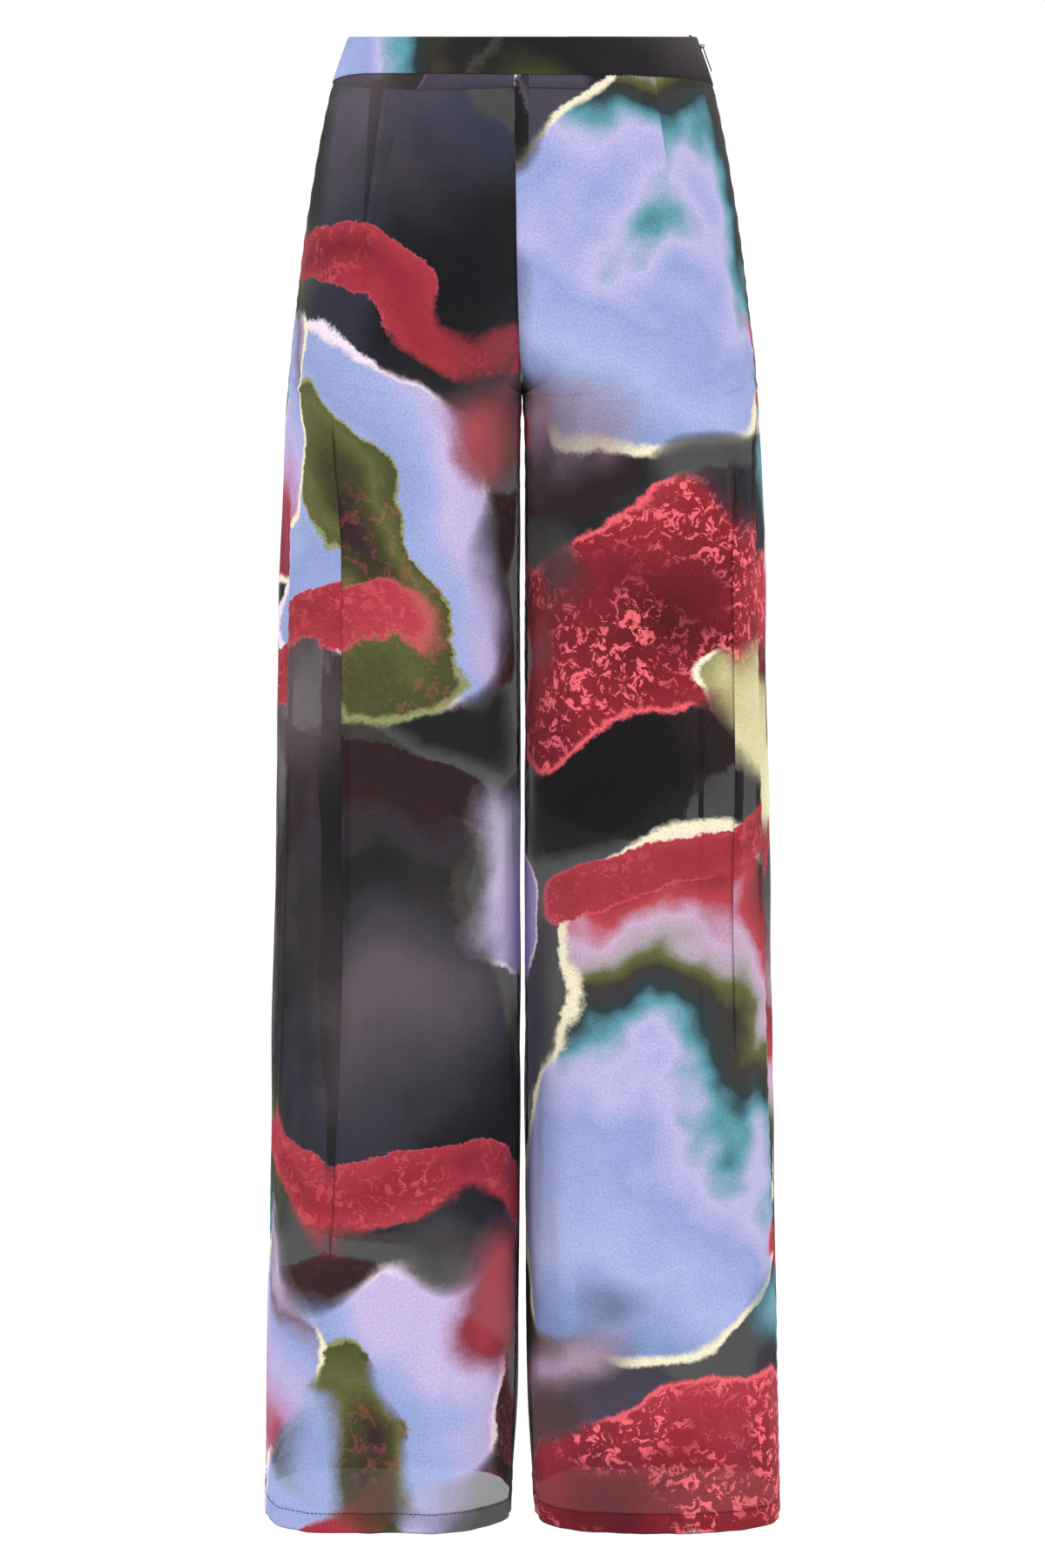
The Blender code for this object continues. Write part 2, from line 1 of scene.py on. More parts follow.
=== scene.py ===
"""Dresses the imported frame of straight-leg trousers: sheer printed panels with their folds and seams, an
interfaced waistband, a concealed zip, stitching and a plain studio.

Metres, in the frame's own axes. A drop is how far a point lies below the band's top edge at the side, and a
reach is a distance along a level section from the centre seam or inner leg seam round toward the side seam.
"""

import math
from collections import namedtuple

import bmesh
import bpy
import numpy as np
from bpy.props import FloatProperty, FloatVectorProperty, IntProperty, PointerProperty
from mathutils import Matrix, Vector


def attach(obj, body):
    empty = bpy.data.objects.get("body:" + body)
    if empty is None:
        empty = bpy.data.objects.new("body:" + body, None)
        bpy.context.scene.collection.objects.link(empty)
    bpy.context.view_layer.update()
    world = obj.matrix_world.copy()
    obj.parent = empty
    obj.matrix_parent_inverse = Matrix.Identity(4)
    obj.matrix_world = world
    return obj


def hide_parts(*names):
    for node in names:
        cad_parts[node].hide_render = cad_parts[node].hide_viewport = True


bl_info = {
    "name": "Sheer straight-leg trousers",
    "version": (1, 0, 0),
    "blender": (4, 5, 0),
    "location": "View3D > Sidebar > Trousers",
    "description": "Sheer printed cloth, sewing, zip and studio for the packed trousers",
    "category": "Object",
}

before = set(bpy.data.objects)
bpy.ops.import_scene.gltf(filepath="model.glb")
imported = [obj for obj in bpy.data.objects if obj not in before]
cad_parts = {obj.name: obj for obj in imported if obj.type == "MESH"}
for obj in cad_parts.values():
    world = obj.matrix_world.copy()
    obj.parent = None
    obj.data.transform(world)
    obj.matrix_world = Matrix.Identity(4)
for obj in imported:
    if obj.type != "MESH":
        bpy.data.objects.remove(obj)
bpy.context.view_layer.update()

# Main sizes
OUTSEAM = 1.081
RISE = 0.2552
ORIGIN_DROP = 0.017
PARTING_DROP = 0.060
PARTING_LATE = 2.8
PANEL_TOP = 0.026
PANEL_LIFT = 0.10
ZIP_HALF_GAP = 0.0007
ZIP_TOP_DROP = 0.004
ZIP_END_DROP = 0.168
BAND_TOP_LEAN = 0.0667
BAND_WALL = 0.0024
BAND_PROUD = 0.0006
BAND_COLUMNS = 96

# A level section at each drop. outer is the half-width at the side and inner is the distance of the inner
# leg from the centre plane. corner is where the flat front and back end and the round side begins. front
# and back are the depths, square is the exponent of the rounded corners, and seam is how far in front of
# the widest point the side seam lies.
Section = namedtuple("Section", "drop outer inner corner front back square seam")
SECTIONS = (
    Section(-0.006, 0.1226, 0.0003, 0.000, 0.0905, 0.0945, 2.10, 0.008),
    Section(0.000, 0.1247, 0.0003, 0.000, 0.0930, 0.0970, 2.10, 0.008),
    Section(0.034, 0.1366, 0.0003, 0.008, 0.1000, 0.1075, 2.15, 0.009),
    Section(0.073, 0.1455, 0.0003, 0.026, 0.1065, 0.1190, 2.25, 0.010),
    Section(0.110, 0.1520, 0.0003, 0.044, 0.1110, 0.1270, 2.35, 0.013),
    Section(0.150, 0.1580, 0.0003, 0.060, 0.1140, 0.1320, 2.50, 0.018),
    Section(0.190, 0.1628, 0.0003, 0.073, 0.1150, 0.1325, 2.65, 0.024),
    Section(0.222, 0.1665, 0.0003, 0.081, 0.1145, 0.1290, 2.70, 0.033),
    Section(0.255, 0.1696, 0.0004, 0.085, 0.1125, 0.1225, 2.75, 0.044),
    Section(0.290, 0.1721, 0.0016, 0.087, 0.1095, 0.1170, 2.75, 0.055),
    Section(0.340, 0.1744, 0.0020, 0.088, 0.1060, 0.1125, 2.70, 0.062),
    Section(0.460, 0.1777, 0.0022, 0.090, 0.1005, 0.1060, 2.75, 0.060),
    Section(0.620, 0.1812, 0.0022, 0.092, 0.0960, 0.1000, 2.85, 0.054),
    Section(0.780, 0.1847, 0.0023, 0.094, 0.0915, 0.0945, 2.95, 0.047),
    Section(0.900, 0.1873, 0.0034, 0.096, 0.0885, 0.0905, 3.10, 0.034),
    Section(1.000, 0.1898, 0.0050, 0.098, 0.0865, 0.0875, 3.20, 0.024),
    Section(1.081, 0.1920, 0.0085, 0.101, 0.0850, 0.0850, 3.35, 0.020),
)

# The waistband's bottom edge on each side of the garment. turn is 0 at the centre front, 1 at the back.
BandBottom = namedtuple("BandBottom", "turn left right")
BAND_BOTTOMS = (
    BandBottom(0.00, 0.0325, 0.0325),
    BandBottom(0.18, 0.0325, 0.0313),
    BandBottom(0.34, 0.0328, 0.0297),
    BandBottom(0.50, 0.0345, 0.0325),
    BandBottom(0.75, 0.0325, 0.0325),
    BandBottom(1.00, 0.0300, 0.0300),
)

# The stitched dart line and the long pleat's line on each panel, as distances from the centre plane.
Line = namedtuple("Line", "drop front_left front_right back_left back_right")
DART_LINES = (
    Line(0.000, 0.0900, 0.1050, 0.0965, 0.0965),
    Line(0.034, 0.0937, 0.1075, 0.1000, 0.1000),
    Line(0.155, 0.1080, 0.1125, 0.1150, 0.1150),
    Line(0.255, 0.1130, 0.1130, 0.1160, 0.1160),
    Line(1.081, 0.1120, 0.1080, 0.1160, 0.1160),
)
PLEAT_LINES = (
    Line(0.000, 0.1100, 0.1170, 0.1110, 0.1110),
    Line(0.034, 0.1190, 0.1230, 0.1180, 0.1180),
    Line(0.110, 0.1340, 0.1290, 0.1270, 0.1270),
    Line(0.190, 0.1430, 0.1320, 0.1300, 0.1300),
    Line(0.340, 0.1490, 0.1335, 0.1330, 0.1310),
    Line(0.700, 0.1520, 0.1365, 0.1350, 0.1330),
    Line(1.081, 0.1540, 0.1400, 0.1370, 0.1350),
)

# Darts: how far down each runs and how much cloth it takes in at the band.
Dart = namedtuple("Dart", "panel tip wide")
DARTS = (
    Dart("front_left", 0.155, 0.0140),
    Dart("front_right", 0.160, 0.0130),
    Dart("back_left", 0.140, 0.0150),
    Dart("back_right", 0.140, 0.0150),
)

# Pressed pleats that the cloth folds itself into, lapping toward the centre by lap. Each closes over fade_in
# below its top and opens again over fade_out above its bottom.
Pleat = namedtuple("Pleat", "panel top bottom fade_in fade_out lap")
PLEATS = (
    Pleat("front_right", 0.235, 0.960, 0.14, 0.30, 0.0150),
    Pleat("front_left", 0.265, 0.780, 0.12, 0.16, 0.0085),
    Pleat("back_right", 0.300, 0.900, 0.20, 0.24, 0.0050),
    Pleat("back_left", 0.280, 0.860, 0.20, 0.24, 0.0050),
)

# Soft folds, each beside its panel's pleat line by shift, with an inner and an outer flank.
Fold = namedtuple("Fold", "panel shift top bottom inner outer high")
FOLDS = (
    Fold("front_right", 0.000, 0.20, 0.84, 0.0080, 0.0180, 0.0040),
    Fold("front_left", 0.000, 0.23, 0.78, 0.0080, 0.0150, 0.0040),
    Fold("back_right", 0.000, 0.24, 0.90, 0.0110, 0.0180, 0.0035),
    Fold("back_left", 0.000, 0.22, 0.86, 0.0110, 0.0200, 0.0040),
    Fold("front_right", 0.010, 0.70, 1.20, 0.0200, 0.0160, 0.0040),
    Fold("front_right", -0.078, 0.56, 1.20, 0.0240, 0.0220, 0.0032),
    Fold("front_left", -0.050, 0.46, 1.20, 0.0220, 0.0240, 0.0036),
    Fold("front_left", -0.110, 0.62, 1.20, 0.0180, 0.0220, 0.0026),
    Fold("back_right", -0.082, 0.45, 1.20, 0.0240, 0.0240, 0.0034),
    Fold("back_left", -0.085, 0.52, 1.20, 0.0240, 0.0220, 0.0034),
    Fold("back_left", 0.018, 0.62, 1.20, 0.0180, 0.0200, 0.0032),
    Fold("back_right", 0.016, 0.66, 1.20, 0.0180, 0.0200, 0.0030),
)
FOLD_FADE = 0.16

# The centre front seam is sewn a little toward the wearer's right, less so lower down.
Drift = namedtuple("Drift", "drop aside")
CENTRE_DRIFT = (
    Drift(0.000, 0.0059),
    Drift(0.034, 0.0058),
    Drift(0.123, 0.0044),
    Drift(0.167, 0.0038),
    Drift(0.210, 0.0027),
    Drift(0.240, 0.0018),
    Drift(0.262, 0.0006),
    Drift(0.290, 0.0000),
    Drift(1.081, 0.0000),
)
DRIFT_WIDE = 0.040

# Light creases and ripples of soft woven cloth: waves along the reach and down the leg, with their height.
Ripple = namedtuple("Ripple", "across down start high")
RIPPLES = (
    Ripple(0.062, 0.90, 0.4, 0.00075),
    Ripple(0.037, -0.62, 2.1, 0.00055),
    Ripple(0.023, 0.48, 4.4, 0.00035),
    Ripple(0.015, -0.35, 1.3, 0.00018),
    Ripple(0.094, 0.21, 3.0, 0.00050),
    Ripple(0.048, -0.13, 5.2, 0.00025),
)
RIPPLE_SHIFT = 1.7

# Beside a seam: puckers, the groove the stitches pull in, and how near the cloth is held still
PUCKER_PITCH = 0.0150
PUCKER_HIGH = 0.00035
PUCKER_REACH = 0.010
GROOVE_DEEP = 0.0007
GROOVE_WIDE = 0.0010
SEAM_HOLD = 0.012

# Pleats and darts, with the least cloth between pleat and side and between dart and pleat
PLEAT_OPEN = 0.0030
PLEAT_THICK = 0.0011
PLEAT_WAVER = 0.0013
PLEAT_TO_SIDE = 0.016
DART_TO_PLEAT = 0.006
DART_TOP = 0.033
DART_SLIT = 0.0002
DART_GROOVE_DEEP = 0.0006
DART_GROOVE_WIDE = 0.0012

# How far inside the cloth its hidden layers lie
UNDER_BAND = 0.0015
HEM_INSET = 0.0010
ALLOWANCE_INSET = 0.0010
OVERLOCK_INSET = 0.0014
DART_FOLD_INSET = 0.0014
LABEL_INSET = 0.0022
COIL_INSET = 0.0034

# Small sewn things. An allowance starts SEAM_LINE from its seam.
SEAM_LINE = 0.0004
OVERLOCK_PITCH = 0.0036
OVERLOCK_BITE = 0.72
OVERLOCK_THREAD = 0.00016
DART_FOLD_TOP = 0.0345
DART_FOLD_LEAST = 0.0008
BAND_STITCH = 0.0024
BAND_STITCH_GAP = 0.0008
BAND_STITCH_SINK = 0.0003
LABEL_DROPS = (0.132, 0.157)
LABEL_REACHES = (-0.0050, 0.0042)
COIL_PITCH = 0.0011
COIL_OFF = 0.0010
COIL_WIDE = 0.0006
COIL_DEEP = 0.0005
COIL_WIRE = 0.00022

PANELS = ("front_left", "front_right", "back_left", "back_right")


def linear(code):
    """A linear colour with alpha 1 from an sRGB hex code."""
    parts = [int(code[i : i + 2], 16) / 255 for i in (1, 3, 5)]
    return (*(p / 12.92 if p <= 0.04045 else ((p + 0.055) / 1.055) ** 2.4 for p in parts), 1.0)


# --- Form ---------------------------------------------------------------------------------------------


def along(table, column, at):
    """The smooth values of a table's column at places in its first column, through every row."""
    places = np.array([row[0] for row in table], float)
    values = np.array([getattr(row, column) for row in table], float)
    steps = np.diff(values) / np.diff(places)
    slopes = np.concatenate([steps[:1], (steps[:-1] + steps[1:]) / 2, steps[-1:]])
    slopes[np.concatenate([[False], steps[:-1] * steps[1:] <= 0, [False]])] = 0
    at = np.clip(at, places[0], places[-1])
    i = np.clip(np.searchsorted(places, at, side="right") - 1, 0, len(steps) - 1)
    width = places[i + 1] - places[i]
    t = (at - places[i]) / width
    return (
        values[i] * (1 + 2 * t) * (1 - t) ** 2
        + slopes[i] * width * t * (1 - t) ** 2
        + values[i + 1] * t * t * (3 - 2 * t)
        + slopes[i + 1] * width * t * t * (t - 1)
    )


def smooth_step(value, start, end):
    t = np.clip((value - start) / (end - start), 0.0, 1.0)
    return t * t * (3 - 2 * t)


class LevelSection:
    """The wearer's left half of the garment at one drop, as a line in plan with its runs."""

    def __init__(self, drop):
        self.drop = drop
        outer, inner, corner, front, back, square, seam = (
            float(along(SECTIONS, column, drop)) for column in Section._fields[1:]
        )
        inner = inner if drop > RISE else 0.0
        corner = max(corner, inner)
        parting = max(drop - PARTING_DROP, 0.0) / (RISE - PARTING_DROP)
        parted = float(smooth_step(parting**PARTING_LATE, 0.0, 1.0))
        lobe = inner + parted * (corner - inner)
        turned = np.linspace(math.asin(parted ** (square / 2)), 0, 80)
        side = np.linspace(0, math.pi / 2, 90)
        power = 2 / square
        front_inner = np.stack(
            [lobe - (corner - inner) * np.sin(turned) ** power, -front * np.cos(turned) ** power], 1
        )
        front_outer = np.stack(
            [corner + (outer - corner) * np.sin(side) ** power,
             -front * np.maximum(np.cos(side), 0) ** power], 1
        )
        behind = (1, -back / front)
        back_outer, back_inner = front_outer[::-1] * behind, front_inner[::-1] * behind
        line = np.concatenate([front_inner, front_outer, back_outer, back_inner])
        kept = np.concatenate([[True], np.linalg.norm(np.diff(line, axis=0), axis=1) > 1e-7])
        self.points = line[kept]
        self.runs = np.concatenate([[0.0], np.cumsum(np.linalg.norm(np.diff(self.points, axis=0), axis=1))])
        self.total = float(self.runs[-1])
        self.widest = int(np.argmax(self.points[:, 0]))
        corner_on = slice(int(np.argmin(self.points[:, 1])), self.widest + 1)
        self.side_run = float(np.interp(-seam, self.points[corner_on, 1], self.runs[corner_on]))

    def place(self, runs):
        """The plan points at runs."""
        return np.stack([np.interp(runs, self.runs, self.points[:, i]) for i in (0, 1)], -1)

    def outward(self, runs):
        """The unit vectors out of the cloth at runs."""
        near = 0.0018
        ahead = self.place(np.minimum(runs + near, self.total)) - self.place(np.maximum(runs - near, 0.0))
        return np.stack([ahead[..., 1], -ahead[..., 0]], -1) / np.linalg.norm(ahead, axis=-1)[..., None]

    def reach_of(self, distance, half):
        """How far round from the centre or inner seam a distance from the centre plane lies."""
        if half == "front":
            part = slice(0, self.widest + 1)
            return float(np.interp(distance, self.points[part, 0], self.runs[part]))
        part = slice(self.widest, None)
        return self.total - float(np.interp(-distance, -self.points[part, 0], self.runs[part]))

    def side_reach(self, half):
        return self.side_run if half == "front" else self.total - self.side_run


SECTION_STORE = {}


def section_at(drop):
    key = round(float(drop), 6)
    if key not in SECTION_STORE:
        SECTION_STORE[key] = LevelSection(key)
    return SECTION_STORE[key]


def band_edges(side_name, turn):
    """The drops of the band's top and bottom edges."""
    waist = section_at(0.0)
    top = -BAND_TOP_LEAN * waist.place(np.asarray(turn) * waist.total)[..., 1]
    return top, along(BAND_BOTTOMS, side_name, turn)


def soft_height(panel, distance, reach, drop, seams):
    """How far folds, ripples and puckers push the cloth out. seams are the distances to its seams."""
    shift = RIPPLE_SHIFT * PANELS.index(panel)
    free = np.prod([1 - np.exp(-((to_seam / SEAM_HOLD) ** 2)) for to_seam in seams], axis=0)
    high = np.zeros_like(distance)
    for fold in FOLDS:
        if fold.panel == panel:
            off = distance - along(PLEAT_LINES, panel, drop) - fold.shift
            flank = np.where(off > 0, fold.outer, fold.inner)
            fade = smooth_step(drop, fold.top, fold.top + FOLD_FADE)
            fade = fade * (1 - smooth_step(drop, fold.bottom - FOLD_FADE, fold.bottom))
            high += fold.high * fade * np.exp(-((off / flank) ** 2))
    loose = smooth_step(drop, 0.03, 0.40) * 0.8 + 0.2
    for ripple in RIPPLES:
        turn = 2 * math.pi * (reach / ripple.across + drop / ripple.down)
        high += ripple.high * loose * free * np.sin(turn + ripple.start + shift)
    for to_seam in seams:
        near = np.exp(-((to_seam / PUCKER_REACH) ** 2))
        wave = np.sin(2 * math.pi * drop / PUCKER_PITCH + 3 * np.sin(drop * 31))
        high += near * PUCKER_HIGH * wave
        high -= GROOVE_DEEP * np.exp(-((to_seam / GROOVE_WIDE) ** 2))
    return high


def plan_point(panel, section, reach, out):
    """Plan points of a panel's cloth at reaches, so far out of the garment's surface."""
    half, side_name = panel.split("_")
    run = reach if half == "front" else section.total - reach
    at = section.place(run) + section.outward(run) * np.asarray(out)[..., None]
    side = 1 if side_name == "left" else -1
    x = at[..., 0] * side
    if half == "front":
        x = x - along(CENTRE_DRIFT, "aside", section.drop) * np.exp(-((x / DRIFT_WIDE) ** 2))
    return np.stack([x, at[..., 1]], -1)


def cloth_point(panel, section, reach, out):
    """Points of a panel's cloth in space at reaches of one level, with its soft folds."""
    half = panel.split("_")[0]
    reach = np.asarray(reach, float)
    run = reach if half == "front" else section.total - reach
    distance = section.place(run)[..., 0]
    seams = (reach, section.side_reach(half) - reach)
    high = soft_height(panel, distance, reach, section.drop, seams)
    at = plan_point(panel, section, reach, high + out)
    return np.concatenate([at, np.full((*at.shape[:-1], 1), ORIGIN_DROP - section.drop)], -1)


def of_panel(table, panel):
    """A table's row for a panel."""
    return next(row for row in table if row.panel == panel)


def intake(panel, drop):
    """How much cloth the panel's dart takes in at a drop."""
    dart = of_panel(DARTS, panel)
    return dart.wide * max(0.0, 1 - (drop - DART_TOP) / (dart.tip - DART_TOP))


def pleat_lap(panel, drop):
    """How far the panel's pleat laps over itself at a drop, below zero where it has opened flat."""
    pleat = of_panel(PLEATS, panel)
    fade = smooth_step(drop, pleat.top, pleat.top + pleat.fade_in)
    fade *= 1 - smooth_step(drop, pleat.bottom - pleat.fade_out, pleat.bottom)
    return float(pleat.lap * fade - PLEAT_OPEN * (1 - fade))


def pleat_waver(drop, lap):
    """How far the pleat's hidden inner fold strays from a straight line, where it is folded at all."""
    folded = min(max(lap, 0.0) / 0.010, 1.0)
    return PLEAT_WAVER * folded * (math.sin(drop / 0.026) + 0.7 * math.sin(drop / 0.0105 + 1.3))


def side_end(panel, section):
    """The reach of a panel's side edge, which stops short of the side seam along the zip."""
    half, side_name = panel.split("_")
    along_zip = side_name == "left" and section.drop < ZIP_END_DROP
    return section.side_reach(half) - (ZIP_HALF_GAP if along_zip else 0.0)


def panel_level(panel, section, detail, base=0.0):
    """One level of a panel, base out of the garment's surface: the points of its columns, how far each lies
    from the straight grain at the dart's line when flat, and its reach."""
    half = panel.split("_")[0]
    end = side_end(panel, section)
    dart = section.reach_of(along(DART_LINES, panel, section.drop), half)
    pleat = section.reach_of(along(PLEAT_LINES, panel, section.drop), half)
    lap = pleat_lap(panel, section.drop)
    pleat = min(pleat, end - lap / 2 - PLEAT_TO_SIDE)
    dart = min(dart, pleat - lap / 2 - DART_TO_PLEAT)
    taken = intake(panel, section.drop)
    thick = PLEAT_THICK * min(1.0, max(lap, 0.0) / 0.004)
    stretches = (
        ("to dart", 0.0, dart - DART_SLIT, 4 * detail),
        ("dart", dart - DART_SLIT, dart + DART_SLIT, 1),
        ("to pleat", dart + DART_SLIT, pleat + lap / 2, 2 * detail),
        ("pleat", pleat + lap / 2, pleat - lap / 2, detail // 2),
        ("to side", pleat - lap / 2, end, 4 * detail),
    )
    waver = pleat_waver(section.drop, lap)
    reach, out, flat = [], [], []
    length = 0.0
    for part, a, b, count in stretches:
        t = np.linspace(0, 1, count + 1)[0 if part == "to dart" else 1 :]
        span = 2 * taken + abs(b - a) if part == "dart" else abs(b - a)
        if part in ("to dart", "to side"):
            t = t - 0.35 * np.sin(2 * math.pi * t) / (2 * math.pi)
        strays = {"to pleat": smooth_step(t, 0.6, 1.0), "pleat": 1 - t}.get(part, 0.0)
        reach.append(a + (b - a) * t + waver * strays)
        flat.append(length + span * t)
        length += span
        out.append({
            "to pleat": -thick * smooth_step(t, 0.72, 1.0),
            "pleat": -thick + 2 * thick * smooth_step(t, 0, 1),
            "to side": thick * (1 - smooth_step(t, 0.0, 0.30)),
        }.get(part, np.zeros_like(t)))
    reach, out, flat = map(np.concatenate, (reach, out, flat))
    flat = flat - flat[4 * detail + 1]
    out = out - DART_GROOVE_DEEP * np.exp(-(((reach - dart) / DART_GROOVE_WIDE) ** 2)) * (taken > 0)
    return cloth_point(panel, section, reach, out + base), flat, reach


def row_drops(top, bottom, step):
    """Drops from top to bottom, closer together where the crotch curve turns under."""
    turning, over = 0.249, 0.012
    drops = [top]
    while drops[-1] < bottom - 1e-6:
        near = math.exp(-(((drops[-1] - turning) / over) ** 2))
        drops.append(min(drops[-1] + step * (1 - 0.82 * near), bottom))
    if not any(abs(d - RISE) < 1e-6 for d in drops):
        drops = sorted([*drops, RISE])
    return np.array(drops)


def placed(name, data):
    """An object with its data, linked to the scene."""
    thing = bpy.data.objects.new(name, data)
    bpy.context.scene.collection.objects.link(thing)
    return thing


def grid_mesh(name, rows, flats):
    """A mesh over a grid of points, with a map of each point's place on the flat cloth in metres."""
    rows = np.asarray(rows, float)
    high, wide = rows.shape[:2]
    index = np.arange(high * wide).reshape(high, wide)
    corners = np.stack([index[:-1, :-1], index[1:, :-1], index[1:, 1:], index[:-1, 1:]], -1).reshape(-1, 4)
    mesh = bpy.data.meshes.new(name)
    mesh.from_pydata(rows.reshape(-1, 3).tolist(), [], corners.tolist())
    layer = mesh.uv_layers.new(name="flat_cloth")
    flats = np.asarray(flats, float).reshape(-1, 2)
    layer.data.foreach_set("uv", flats[corners.ravel()].ravel())
    mesh.shade_smooth()
    return placed(name, mesh)


def tube_mesh(name, paths, radius, sides=6):
    """A mesh of short capped tubes along paths, each a list of points."""
    verts, faces = [], []
    turns = np.linspace(0, 2 * math.pi, sides, endpoint=False)
    for path in paths:
        path = np.asarray(path, float)
        ahead = np.gradient(path, axis=0)
        ahead /= np.linalg.norm(ahead, axis=1)[:, None]
        up = np.where(np.abs(ahead[:, 2:3]) > 0.9, [[1.0, 0, 0]], [[0, 0, 1.0]])
        side = np.cross(ahead, up)
        side /= np.linalg.norm(side, axis=1)[:, None]
        top = np.cross(side, ahead)
        scale = np.full(len(path), radius)
        scale[[0, -1]] *= 0.55
        first = len(verts)
        for point, s, t, r in zip(path, side, top, scale):
            verts += [tuple(point + r * (math.cos(a) * s + math.sin(a) * t)) for a in turns]
        for i in range(len(path) - 1):
            a, b = first + i * sides, first + (i + 1) * sides
            faces += [(a + j, a + (j + 1) % sides, b + (j + 1) % sides, b + j) for j in range(sides)]
        faces.append(tuple(first + j for j in range(sides - 1, -1, -1)))
        faces.append(tuple(first + (len(path) - 1) * sides + j for j in range(sides)))
    mesh = bpy.data.meshes.new(name)
    mesh.from_pydata(verts, [], faces)
    mesh.shade_smooth()
    return placed(name, mesh)


def stitch_paths(line, length, gap, sink, outward):
    """Short arcs along a line of points, each rising out of the cloth and diving back in."""
    line, outward = np.asarray(line, float), np.asarray(outward, float)
    outward = outward / np.linalg.norm(outward, axis=1)[:, None]
    runs = np.concatenate([[0.0], np.cumsum(np.linalg.norm(np.diff(line, axis=0), axis=1))])
    paths = []
    at = gap
    while at + length < runs[-1]:
        t = np.linspace(0, 1, 5)
        here = at + length * t
        points = np.stack([np.interp(here, runs, line[:, i]) for i in range(3)], 1)
        out = np.stack([np.interp(here, runs, outward[:, i]) for i in range(3)], 1)
        paths.append(points + out * (sink * (np.sin(math.pi * t) ** 0.6 - 0.55))[:, None])
        at += length + gap
    return paths


# --- Materials ----------------------------------------------------------------------------------------


class Nodes:
    """A node tree being filled. add and surface give the node they make, and the others give its output."""

    def __init__(self, tree):
        self.tree = tree
        tree.nodes.clear()

    def add(self, kind, inputs=None, **settings):
        """A node with its settings, and its inputs filled or linked."""
        made = self.tree.nodes.new(kind)
        for name, value in settings.items():
            setattr(made, name, value)
        for key, value in (inputs or {}).items():
            if isinstance(value, bpy.types.NodeSocket):
                self.tree.links.new(value, made.inputs[key])
            else:
                made.inputs[key].default_value = value
        return made

    def surface(self, **inputs):
        """The shader that the tree ends in. An input's name has _ for a space."""
        shader = self.add("ShaderNodeBsdfPrincipled", {key.replace("_", " "): v for key, v in inputs.items()})
        self.add("ShaderNodeOutputMaterial", {"Surface": shader.outputs[0]})
        return shader

    def maths(self, operation, *values):
        return self.add("ShaderNodeMath", dict(enumerate(values)), operation=operation).outputs[0]

    def vector(self, operation, *values):
        return self.add("ShaderNodeVectorMath", dict(enumerate(values)), operation=operation).outputs[0]

    def scaled(self, colour, by):
        return self.add("ShaderNodeVectorMath", {0: colour, "Scale": by}, operation="SCALE").outputs[0]

    def noise(self, place, size, **inputs):
        """Both outputs of a noise."""
        return self.add("ShaderNodeTexNoise", {"Vector": place, "Scale": 1 / size, **inputs}).outputs

    def ramp(self, value, low, high, to_low=0.0, to_high=1.0, curve="SMOOTHSTEP"):
        ends = {"From Min": low, "From Max": high, "To Min": to_low, "To Max": to_high}
        return self.add("ShaderNodeMapRange", {"Value": value, **ends}, interpolation_type=curve).outputs[0]

    def blend(self, share, below, above):
        return self.add("ShaderNodeMix", {0: share, 6: below, 7: above}, data_type="RGBA").outputs[2]

    def colours(self, value, stops):
        made = self.add("ShaderNodeValToRGB", {"Fac": value})
        elements = made.color_ramp.elements
        while len(elements) < len(stops):
            elements.new(0.5)
        for element, (place, code) in zip(elements, stops):
            element.position = place
            element.color = linear(code)
        return made.outputs["Color"]

    def relief(self, height, strength, deep):
        inputs = {"Height": height, "Strength": strength, "Distance": deep}
        return self.add("ShaderNodeBump", inputs).outputs[0]


def empty_material(name):
    """A material with no nodes, and its tree to fill."""
    material = bpy.data.materials.new(name)
    material.use_nodes = True
    return material, Nodes(material.node_tree)


